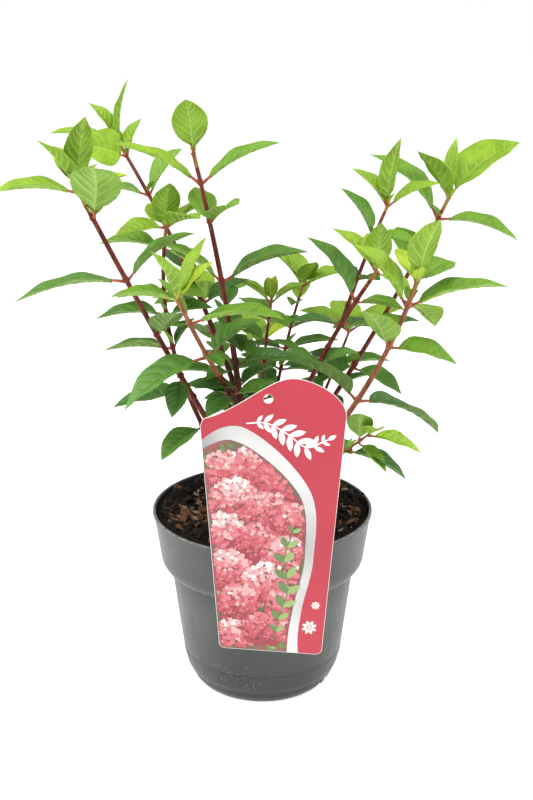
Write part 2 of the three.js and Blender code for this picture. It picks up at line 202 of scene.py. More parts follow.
# What one pattern gives a finish: its colours at their stops, its range of roughness, and its relief
def grained(finish, source, stops=None, roughness=None, bump=None):
    if stops:
        wire(finish, colored(finish, source, stops), "Base Color")
    if roughness:
        wire(finish, spreadOver(finish, source, *patternRange, *roughness), "Roughness")
    if bump:
        wire(finish, relief(finish, source, *bump), "Normal")


# Points in mm and a list of face arrays (count, corners) as one smooth mesh, on the root body if it has
# a slot
def makePiece(name, points, faces, finishes, slot, *, marks=None, replaced=(), sharp=38):
    points = np.asarray(points).reshape(-1, 3)
    corners = np.concatenate([part.ravel() for part in faces]).astype(np.int32)
    sizes = np.concatenate([np.full(len(part), part.shape[1]) for part in faces]).astype(np.int32)
    mesh = bpy.data.meshes.new(name)
    mesh.vertices.add(len(points))
    mesh.vertices.foreach_set("co", (points * mm).astype(np.float32).ravel())
    mesh.loops.add(len(corners))
    mesh.loops.foreach_set("vertex_index", corners)
    mesh.polygons.add(len(sizes))
    mesh.polygons.foreach_set("loop_start", (np.cumsum(sizes) - sizes).astype(np.int32))
    for finish in finishes:
        mesh.materials.append(finish)
    if marks is not None:
        mesh.polygons.foreach_set("material_index", np.asarray(marks, np.int32))
    mesh.update(calc_edges=True)
    mesh.polygons.foreach_set("use_smooth", np.ones(len(sizes), bool))
    mesh.set_sharp_from_angle(angle=math.radians(sharp))
    piece = newObject(name, mesh)
    if slot is None:
        return
    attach(piece, "root")
    if replaced:
        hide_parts(*replaced)
    print(f"  {name}: {len(points)} points, {int((sizes - 2).sum())} triangles")


# Corner numbers of a grid's cells, row by row, joined round its columns if it wraps
def gridFaces(rows, columns, wrap=False, flip=False):
    row = np.arange(rows - 1)[:, None] * columns
    column = np.arange(columns if wrap else columns - 1)[None, :]
    beside = (column + 1) % columns
    cells = np.stack([row + column, row + beside, row + columns + beside, row + columns + column], -1)
    cells = cells.reshape(-1, 4)
    return cells[:, ::-1] if flip else cells


# A closed ring of rows: the grid's cells, and one face over its first and its last row
def tubeFaces(rows, sides, flip=False):
    first, last = np.arange(sides)[None, ::-1], np.arange(sides)[None] + (rows - 1) * sides
    caps = [first[:, ::-1], last[:, ::-1]] if flip else [first, last]
    return [gridFaces(rows, sides, wrap=True, flip=flip), *caps]


# The same faces for each of many alike shapes of "size" points
def repeated(faces, count, size):
    shift = (np.arange(count) * size)[:, None, None]
    return (faces[None] + shift).reshape(-1, faces.shape[1])


# Numbers of a ring's corners, and of the one after each
def ringCorners(sides):
    corner = np.arange(sides)
    return corner, (corner + 1) % sides


# Faces of many alike prisms, each given as the corners of its first end and then of its second
def prismFaces(count, sides, flip=False):
    corner, after = ringCorners(sides)
    walls = np.stack([corner, after, after + sides, corner + sides], 1)
    ends = np.stack([corner[::-1], corner + sides])
    return [repeated(part[:, ::-1] if flip else part, count, 2 * sides) for part in (walls, ends)]


# Joins (points, faces) parts into one set of points and one list of face arrays
def joined(parts):
    start, points, faces = 0, [], []
    for partPoints, partFaces in parts:
        points.append(partPoints)
        faces += [face + start for face in partFaces]
        start += len(partPoints)
    return np.concatenate(points), faces


# Vectors divided by their lengths
def unit(vectors):
    return vectors / np.linalg.norm(vectors, axis=-1, keepdims=True)


# first + (last - first) share
def mix(first, last, share):
    return first + (last - first) * share


# From 0 to 1 over the first 1/pace of a share
def rising(share, pace):
    return np.clip(pace * share, 0, 1)


# Angles of "sides" even steps round a circle
def around(sides):
    return np.arange(sides) * fullTurn / sides


# Directions in a plane at an angle: (cos a, sin a)
def aimed(angles):
    return np.stack([np.cos(angles), np.sin(angles)], -1)


# Directions in a plane turned a quarter to the left: (a, b) becomes (-b, a)
def leftOf(vectors):
    return np.stack([-vectors[..., 1], vectors[..., 0]], -1)


# Sine waves in random directions, each about "size" mm long: sum of sin(k.p + phase) over the root of count
def waves(points, size, seed, count=8):
    rng = np.random.default_rng(seed)
    aim = unit(rng.normal(size=(count, points.shape[-1])))
    length = size * rng.uniform(0.6, 1.6, count)
    phase = rng.uniform(0, fullTurn, count)
    return np.sin(points @ (aim * (fullTurn / length)[:, None]).T + phase).sum(-1) / math.sqrt(count)


# A profile of radii and heights turned round Z: point = (r cos a, r sin a, z)
def turned(radius, height, angles):
    radius, height, angles = np.broadcast_arrays(radius, height, angles)
    return np.stack([radius * np.cos(angles), radius * np.sin(angles), height], -1)


# A disc of rings round Z, just below the pot
def makeFloor():
    p = floorSet
    finish = newFinish("paleFloor", p["color"], p["roughness"][0], **{
        "Emission Color": (1, 1, 1, 1), "Emission Strength": p["glow"], "Specular IOR Level": p["gloss"]})
    grained(finish, pattern(finish, p["grain"], detail=2), roughness=p["roughness"])
    angles = np.linspace(0, fullTurn, p["sides"], endpoint=False)
    points = turned(np.array(p["rings"])[:, None] / mm, -p["drop"], angles[None])
    faces = [gridFaces(len(p["rings"]), p["sides"], wrap=True, flip=True), np.arange(p["sides"])[None]]
    makePiece("floor", points, faces, [finish], None)


makeFloor()
print("floor is laid")

potSet = {  # where an edge is softened, its points stand off it by (outwards, up)
    "rimRadius": 95, "height": 159.2, "rimSoft": ((0, -0.7), (-0.21, -0.21), (-0.7, 0)), "mouthSoft": 0.5,
    "lipWidth": 1, "lipFoot": 155.8, "lipTop": 156.6, "lipSoft": ((-0.3, 0.25),),
    "collarRadius": 89.2, "collarFoot": 122, "shoulderRadius": 79.9, "shoulder": 107.5, "shoulderSteps": 12,
    "bodyTop": (79.4, 103), "creaseSoft": ((0, 0), (-0.2, 1.6)), "bodySteps": (0.35, 0.7),
    "bodyFoot": (69.9, 26), "ringLine": 30, "ringSoft": ((0, 0), (-0.16, 0.25), (-0.112, 1.0), (0.05, 1.5)),
    "base": (57.8, 0), "baseSoft": ((0, 0), (1.1, 0.9)), "chamfer": (62.2, 5),
    "heel": (67.4, 16), "heelSoft": ((-0.5, -1.2), (0.1, 0.2), (0.55, 2)),
    "under": ((0.5, 0.8), (24, 0.8), (25, 0), (40, 0), (41, 0.8), (52, 0.8), (53, 0)),  # grooves beneath
    "wall": 1.7, "floor": 3, "floorRadius": 57, "floorHole": 0.5, "sides": 180, "out": 0.12,
    "wander": 0.12, "wanderPhase": 0.7, "wanderInside": 0.4,
    "notchTurns": (25, 68, 112, 156, 197, 331), "notchWidth": 15, "notchHeight": 8, "notchDepth": 7,
    "notchEdge": 0.15, "notchSide": 0.35,
    "color": (0.037, 0.0425, 0.039), "dusty": (0.056, 0.0625, 0.058), "streak": (0.12, 0.125, 0.12),
    "fleck": (0.20, 0.19, 0.17), "rimWearAndHighlight": (0.20, 0.215, 0.205), "scraped": (0.085, 0.092, 0.088),
    # painted shade towards the pot's foot: the heights over which it fades in, and its dark tone
    "paintedShadeHeights": (2, 82), "paintedShadeTone": (0.010, 0.012, 0.011),
    "streakShare": 0.12, "fleckShare": 0.3, "footShade": 0.9,
}
splashSet = {  # turn is a middle and a spread, rise the shape and scale of a gamma draw
    "count": 46, "sides": 6, "size": (0.16, 0.42), "tall": 1.3,
    "turn": (256, 13), "low": 14, "rise": (2.2, 8.0), "dome": 0.18, "ringSunk": 0.05, "backSunk": 0.25,
    "color": (0.30, 0.30, 0.28),
}


# Radius of the pot's body at a height: straight from its foot to its top
def bodyRadius(height):
    (footRadius, foot), (topRadius, top) = potSet["bodyFoot"], potSet["bodyTop"]
    return footRadius + (topRadius - footRadius) / (top - foot) * (height - foot)


# The collar's shoulder, a quarter ellipse, at turns from 0 to 90 degrees
def shoulderCurve(turns):
    p, turn = potSet, np.radians(turns)
    return np.stack([mix(p["shoulderRadius"], p["collarRadius"], np.sin(turn)),
                     mix(p["shoulder"], p["collarFoot"], 1 - np.cos(turn))], 1)


# Points that stand off an edge by each step's (outwards, up)
def softened(place, steps):
    return [(place[0] + out, place[1] + up) for out, up in steps]


# The outside from the foot up, as rows of radius and height: heel, body, shoulder, collar and lip
def potOutside():
    p = potSet
    rim, height, notch = p["rimRadius"], p["height"], p["notchHeight"]
    lip = (rim - p["lipWidth"], p["lipFoot"])
    foot, top, heel, chamfer = (np.array(p[key]) for key in ("bodyFoot", "bodyTop", "heel", "chamfer"))
    notchRadius = mix(chamfer[0], heel[0], (notch - chamfer[1]) / (heel[1] - chamfer[1]))
    return np.array([
        *softened(p["base"], p["baseSoft"]), p["chamfer"],
        *softened((notchRadius, notch), ((0, -p["notchEdge"]), (0, p["notchEdge"]))),
        *softened(heel, p["heelSoft"]), foot,
        *softened((bodyRadius(p["ringLine"]), p["ringLine"]), p["ringSoft"]),
        *[mix(foot, top, share) for share in p["bodySteps"]], *softened(top, p["creaseSoft"]),
        *shoulderCurve(np.linspace(0, 90, p["shoulderSteps"])),
        (mix(p["collarRadius"], lip[0], 0.5), mix(p["collarFoot"], lip[1], 0.5)),
        lip, *softened((rim, lip[1]), p["lipSoft"]), (rim, p["lipTop"]),
        *softened((rim, height), p["rimSoft"]),
    ])


# The inside from the mouth down: the outside's shoulder and body less the wall, then the floor
def potInside():
    p = potSet
    wall, soft = np.array([p["wall"], 0]), p["mouthSoft"]
    mouth = p["rimRadius"] - p["lipWidth"] - p["wall"]
    return np.array([
        (mouth + soft, p["height"]), (mouth, p["height"] - soft), *(shoulderCurve([90, 45, 0]) - wall),
        p["bodyTop"] - wall, p["bodyFoot"] - wall, (p["floorRadius"], p["floor"]),
    ])


# Radius of the inner wall at a height, straight between the rows of its profile
def innerRadius(height):
    rows = potInside()[::-1]
    return float(np.interp(height, rows[:, 1], rows[:, 0]))


# Turns round the pot, with an extra one just inside and just outside each side of a notch
def potTurns():
    p = potSet
    half = math.degrees(math.asin(p["notchWidth"] / 2 / p["base"][0]))
    outer = half + p["notchSide"]
    edges = np.array(p["notchTurns"])[:, None] + np.array([-outer, -half, half, outer])[None]
    plain = np.linspace(0, 360, p["sides"], endpoint=False)
    return np.radians(np.unique(np.concatenate([plain, edges.ravel() % 360]))), half


# Grey plastic with clouds of dust, streaks and flecks, painted shade towards its foot, and its rim, pale with
# wear and a painted highlight
def potFinishes():
    p = potSet
    grey = newFinish("pottedGrey", p["color"], 0.42, **{"Specular IOR Level": 0.42})
    cloud = pattern(grey, 60, (1, 1, 1.6), 5)
    streak = pattern(grey, 7, (1, 1, 14), 6, at=(3, 1, 0))
    fleck = pattern(grey, 2.6, detail=5, at=(1, 7, 2))
    color = colored(grey, cloud, [(0.35, p["color"]), (0.7, p["dusty"])])
    color = overlaid(grey, spreadOver(grey, streak, 0.62, 0.8, 0, p["streakShare"]), color, p["streak"])
    color = overlaid(grey, spreadOver(grey, fleck, 0.68, 0.74, 0, p["fleckShare"]), color, p["fleck"])
    # Painted shade: the colour darkens towards the foot
    shade = spreadOver(grey, heightShare(grey, *p["paintedShadeHeights"]), 0, 1, p["footShade"], 0)
    wire(grey, overlaid(grey, shade, color, p["paintedShadeTone"]), "Base Color")
    wire(grey, spreadOver(grey, streak, 0.3, 0.75, 0.34, 0.46), "Roughness")
    grain = relief(grey, pattern(grey, 0.9, detail=4), 0.16, 0.12)
    wire(grey, relief(grey, cloud, 0.12, 1.2, grain), "Normal")
    # The rim's top rows: a pale grey that is partly wear and partly a painted highlight
    rimWearAndHighlight = newFinish("pottedGreyRimWearAndHighlight", p["rimWearAndHighlight"], 0.5)
    grained(rimWearAndHighlight, pattern(rimWearAndHighlight, 5, detail=6), [(0.36, p["scraped"]), (0.62, p["rimWearAndHighlight"])], bump=(0.3, 0.3))
    return [grey, rimWearAndHighlight]


# The pot: its profile turned round Z, a little out of round by |wander sin(2 a + phase)| z / height, less on
# the inside, and drawn in by notchDepth where a row below the notches' top stands in a notch
def makePot():
    p = potSet
    angles, half = potTurns()
    under, outside = np.array(p["under"]), potOutside()
    profile = np.concatenate([under, outside, potInside(), [(p["floorHole"], p["floor"])]])
    radius, height = profile[:, :1], profile[:, 1:]
    row = np.arange(len(profile))
    outsideEnd = len(under) + len(outside)
    isLow = (row >= len(under)) & (row < outsideEnd) & (height[:, 0] < p["notchHeight"])
    away = np.abs((np.degrees(angles)[:, None] - np.array(p["notchTurns"]) + 180) % 360 - 180).min(1)
    inNotch = isLow[:, None] & (away < half + p["notchSide"] / 2)[None]
    wander = np.abs(p["wander"] * np.sin(2 * angles + p["wanderPhase"])[None] * (height / p["height"]))
    wander = wander * np.where(row < outsideEnd, 1.0, p["wanderInside"])[:, None]
    points = turned(radius - p["notchDepth"] * inNotch - p["out"] - wander, height, angles[None])
    sides, rows = len(angles), len(profile)
    cellRow = np.repeat(np.arange(rows - 1), sides)
    # the top rows of the rim take the pale finish of wear and painted highlight
    isRimWearAndHighlight = (cellRow >= outsideEnd - len(p["rimSoft"])) & (cellRow < outsideEnd)
    makePiece("potBody", points, tubeFaces(rows, sides), potFinishes(), "pot",
              marks=np.concatenate([isRimWearAndHighlight.astype(int), [0, 0]]), replaced=("pot",), sharp=32)


# Dried splashes low on the pot: shallow domes of one pole and one ring, laid on the wall
def makeSplashes():
    p = splashSet
    rng = np.random.default_rng(31)
    count, sides = p["count"], p["sides"]
    turn = np.radians(rng.normal(*p["turn"], count))
    height = p["low"] + rng.gamma(*p["rise"], count)
    size = rng.uniform(*p["size"], count)[:, None, None]
    out = turned(1, 0, turn)[:, None]
    across = turned(1, 0, turn + math.pi / 2)[:, None]
    centre = turned(bodyRadius(height) - potSet["out"], height, turn)[:, None]
    over, up = aimed(around(sides)).T[..., None]
    ring = centre - p["ringSunk"] * out + (over * across + up * p["tall"] * upward) * size
    points = np.concatenate([centre + p["dome"] * out, ring, centre - p["backSunk"] * out], 1)
    corner, after = ringCorners(sides)
    front = np.stack([0 * corner, corner + 1, after + 1], 1)
    rear = np.stack([0 * corner + sides + 1, after + 1, corner + 1], 1)
    finish = newFinish("driedSplash", p["color"], 0.8)
    grained(finish, pattern(finish, 0.5), bump=(0.4, 0.1))
    faces = [repeated(np.concatenate([front, rear]), count, sides + 2)]
    makePiece("potSplashes", points, faces, [finish], "pot")


makePot()
makeSplashes()
print("pot is turned")

soilSet = {
    "level": 148, "seatRadius": 18, "bump": 2.2, "bumpLength": (11, 8.8), "ridge": 0.9, "ridgeLength": 7,
    "rings": 70, "innermost": 0.01, "sides": 150, "lump": 0.9, "lumpSize": 9, "crumb": 0.45, "crumbSize": 3,
    "heap": 8.2, "heapFrom": (30, 80), "tongueRoom": (26, 50, 25), "calmMiddle": (14, 0.6), "calmEdge": 3,
    "levelEdge": 6, "dark": (0.006, 0.0045, 0.003), "moist": (0.015, 0.0095, 0.0065),
}
chipSet = {  # single chips lie at their turns (degrees), ways from the pot's axis and heights
    "chips": 1250, "length": (6, 27), "lengthDraw": (1.5, 2.4), "thick": (1.0, 3.4),
    "crumbs": 1100, "crumbLength": (1.2, 3.0), "crumbThick": (0.7, 1.6), "lie": (-0.2, 2.2), "tilt": 0.36,
    "trunkRoom": 9, "edgeRoom": 1.4, "edgeShare": 0.42, "corners": 10, "shake": 0.36, "reach": (0.7, 1.1),
    "narrow": (0.2, 0.72), "curl": 0.15, "inset": (0.55, 0.92), "upper": (0.2, 0.6),
    "rim": {"count": 34, "turn": (8, 66), "away": (82, 89.5), "height": (156.5, 160.5), "length": (7, 15),
            "thick": (1.0, 3.4), "tilt": 0.2},
    "notch": {"count": 14, "turn": (-5.5, 5.5), "away": (56.5, 59.0), "height": (1.8, 6.6),
              "length": (2.5, 4.6), "thick": (1.2, 2.2), "tilt": 0.5},
    "toneDrift": 0.16, "toneSize": 46,
}
barkTones = {  # share of the chips, darker and lighter tone
    "blackBrown": (0.56, (0.002, 0.0016, 0.0012), (0.012, 0.008, 0.0055)),
    "brown": (0.24, (0.010, 0.0055, 0.0032), (0.046, 0.023, 0.013)),
    "russet": (0.155, (0.055, 0.022, 0.009), (0.155, 0.066, 0.027)),
    "tan": (0.045, (0.12, 0.074, 0.044), (0.32, 0.22, 0.145)),
}


# The peat and chips heap up towards the pot's wall by heap o^2 (3 - 2 o), o the share of the way out, but
# less by e^(-(x/wide)^2) in front, where the label's tongue comes down
def heapHeight(x, y):
    low, high = soilSet["heapFrom"]
    wide, start, fade = soilSet["tongueRoom"]
    out = np.clip((np.hypot(x, y) - low) / (high - low), 0, 1)
    front = np.exp(-((x / wide) ** 2)) * np.clip((-y - start) / fade, 0, 1)
    return soilSet["heap"] * out * out * (3 - 2 * out) * (1 - front)


# The source's lumpy top: level + away (bump sin(x/11 + 1) cos(y/8.8) + ridge sin((x + y)/7))
def soilHeight(x, y):
    p = soilSet
    away = np.clip(np.hypot(x, y) / p["seatRadius"] - 1, 0, 1)
    bump = p["bump"] * np.sin(x / p["bumpLength"][0] + 1) * np.cos(y / p["bumpLength"][1])
    return p["level"] + away * (bump + p["ridge"] * np.sin((x + y) / p["ridgeLength"]))


# The larger lumps of the peat, which the chips lie on too
def lumps(x, y):
    return soilSet["lump"] * waves(np.stack([x, y], -1), soilSet["lumpSize"], 5)


# The peat: rings whose height is that of the top, its heap and two sizes of lumps, calm at the trunk and at
# the wall, and below them the pot's inner profile
def makeSoil():
    p = soilSet
    finish = newFinish("dampPeat", p["dark"], 0.92, **{"Specular IOR Level": 0.12})
    clod = pattern(finish, 4, detail=7)
    grained(finish, clod, [(0.35, p["dark"]), (0.68, p["moist"])], (0.75, 1.0), (0.9, 1.2))
    edge = innerRadius(p["level"]) - gap
    angles = around(p["sides"])
    rings = edge * np.linspace(p["innermost"], 1, p["rings"])[:, None]
    top = turned(rings, 0.0, angles[None])
    x, y = top[..., 0], top[..., 1]
    wide, start = p["calmMiddle"]
    calm = np.clip(rings / wide - start, 0, 1) * np.clip((edge - rings) / p["calmEdge"], 0, 1)
    rough = lumps(x, y) + p["crumb"] * waves(top[..., :2], p["crumbSize"], 6)
    bare = mix(p["level"] + 0 * x, soilHeight(x, y), np.clip((edge - rings) / p["levelEdge"], 0, 1))
    top[..., 2] = bare + heapHeight(x, y) + calm * rough
    inner = potInside()
    below = inner[(inner[:, 1] < p["level"])] - np.array([gap, -gap])
    points = np.concatenate([top, turned(below[:, :1], below[:, 1:], angles[None])])
    faces = tubeFaces(len(points), p["sides"], flip=True)
    makePiece("soilBed", points, faces, [finish], "soil", replaced=("soil",))


# Bark chips: flat prisms of two uneven rings, the upper one smaller, tilted and turned at random and arched
# along their length by curl length ((2 x / length)^2 - 0.3) / 2
def chipPoints(rng, centre, length, thick, tilt):
    p = chipSet
    count, sides = len(centre), p["corners"]
    angles = (np.arange(sides) + rng.uniform(-p["shake"], p["shake"], (count, sides))) * fullTurn / sides
    reach = rng.uniform(*p["reach"], (count, sides)) * (length / 2)[:, None]
    narrow = rng.uniform(*p["narrow"], count)[:, None]
    ring = np.stack([reach * np.cos(angles), reach * np.sin(angles) * narrow], -1)
    curl = rng.normal(0, p["curl"], (count, 1)) * length[:, None]
    arch = (curl * ((2 * ring[..., 0] / length[:, None]) ** 2 - 0.3) / 2)[..., None]
    low = np.concatenate([ring, arch - 0.5 * thick[:, None, None]], -1)
    inset = rng.uniform(*p["inset"], (count, sides, 1))
    upper = rng.uniform(*p["upper"], (count, sides, 1)) * thick[:, None, None]
    local = np.concatenate([low, np.concatenate([ring * inset, arch + upper], -1)], 1)
    turn, lean, roll = rng.uniform(0, fullTurn, count), rng.normal(0, tilt, count), rng.normal(0, tilt, count)
    ahead = turned(np.cos(lean), np.sin(lean), turn)
    flat = turned(1, 0, turn + math.pi / 2)
    up = np.cross(ahead, flat)
    side = flat * np.cos(roll)[:, None] + up * np.sin(roll)[:, None]
    axes = np.stack([ahead, side, np.cross(ahead, side)], 1)
    return centre[:, None] + np.einsum("nki,nij->nkj", local, axes)


# Single chips about given turns, spread over the ranges of one entry of the set
def singleChips(rng, chosen, turns):
    count = len(turns)
    turn = turns + np.radians(rng.uniform(*chosen["turn"], count))
    away, height = rng.uniform(*chosen["away"], count), rng.uniform(*chosen["height"], count)
    length, thick = rng.uniform(*chosen["length"], count), rng.uniform(*chosen["thick"], count)
    return chipPoints(rng, turned(away, height, turn), length, thick, chosen["tilt"])


# Chips and crumbs spread evenly over the peat, from the trunk to the wall, then some at the rim and in
# the notches
def makeChips():
    p = chipSet
    rng = np.random.default_rng(17)
    chips, crumbs = p["chips"], p["crumbs"]
    count = chips + crumbs
    length = mix(*p["length"], rng.beta(*p["lengthDraw"], chips))
    length = np.concatenate([length, rng.uniform(*p["crumbLength"], crumbs)])
    thick = np.concatenate([rng.uniform(*p["thick"], chips), rng.uniform(*p["crumbThick"], crumbs)])
    inside = p["trunkRoom"] + length / 2
    outside = innerRadius(soilSet["level"]) - p["edgeRoom"] - length * p["edgeShare"]
    away = np.sqrt(mix(inside ** 2, outside ** 2, rng.uniform(0, 1, count)))
    turn = rng.uniform(0, fullTurn, count)
    x, y = away * np.cos(turn), away * np.sin(turn)
    height = soilHeight(x, y) + heapHeight(x, y) + lumps(x, y) + rng.uniform(*p["lie"], count)
    everyChip = np.concatenate([
        chipPoints(rng, np.stack([x, y, height], 1), length, thick, p["tilt"]),
        singleChips(rng, p["rim"], np.zeros(p["rim"]["count"])),
        singleChips(rng, p["notch"], np.repeat(np.radians(potSet["notchTurns"]), p["notch"]["count"]))])
    shares = np.cumsum([tone[0] for tone in barkTones.values()])
    drawn = rng.uniform(0, 1, len(everyChip)) + p["toneDrift"] * waves(everyChip[:, 0, :2], p["toneSize"], 19)
    kind = np.searchsorted(shares[:-1] / shares[-1], drawn)
    for index, (name, (_, dark, light)) in enumerate(barkTones.items()):
        chosen = everyChip[kind == index]
        finish = newFinish(f"barkChip_{name}", dark, 0.7, **{"Specular IOR Level": 0.17})
        fibre = pattern(finish, 1.6, (1, 3, 1), 5, at=(index, 0, 0))
        grained(finish, fibre, [(0.34, dark), (0.66, light)], (0.5, 0.85), (0.8, 0.6))
        faces = prismFaces(len(chosen), p["corners"])
        makePiece(f"barkChips_{name}", chosen, faces, [finish], "soil", sharp=30)


makeSoil()
makeChips()
print("soil and bark chips are in")

trunkSet = {  # lobes are (size, count round it, turns per way up); knots stand at shares of the way up
    "foot": (0, 0), "sunk": 1.5, "tip": (-19, -8), "top": 262, "past": 1.015, "pastShare": 0.9,
    "base": 7.5, "neck": 3.4, "taper": 0.7, "flare": 6.5, "flareFade": 14, "sides": 44, "steps": 150,
    "lobes": ((0.06, 3, 2.2), (0.04, 5, -3)), "fine": 0.05,
    "fissure": 0.55, "fissures": (5, 8, 13), "fissureSway": 1.4, "fissurePace": (9, 22),
    "knot": 0.9, "knots": (0.33, 0.62, 0.86), "knotLength": 0.018, "knotWidth": 0.5,
}
boughSet = {
    "sides": 16, "step": 1.3, "leastRows": 30, "slim": 0.95, "slimPace": 4, "foot": 0.55, "footLength": 6,
    "nodeSwell": 0.42, "nodeLength": 2.1, "nodeRing": 0.22, "ringBelow": 1.9, "ringLength": 0.7,
    "swellRange": (-0.2, 0.5), "bareNodes": 33, "firstNode": 0.6, "lastNode": 8,
    "ridge": 0.02, "ridges": 4, "ridgeSway": (0.9, 17),
    "grain": 0.004, "pore": 0.06, "poreShare": 0.008, "ageJitter": 0.02,
    "woody": 0.34, "woodyFade": (1.2, 420), "green": 0.945,
    "warm": {"front_right": 0.2, "front_left": 0.3, "low_right": 0.1},
}
barkSkins = {  # darker and lighter tone, roughness and strength of the relief
    "oldBark": ((0.040, 0.011, 0.008), (0.125, 0.038, 0.024), 0.55, 0.4),
    "redBark": ((0.078, 0.009, 0.006), (0.21, 0.036, 0.018), 0.38, 0.14),
    "greenBark": ((0.24, 0.070, 0.022), (0.34, 0.22, 0.045), 0.40, 0.15),
    "warmBark": ((0.19, 0.050, 0.026), (0.36, 0.140, 0.068), 0.42, 0.2),
}

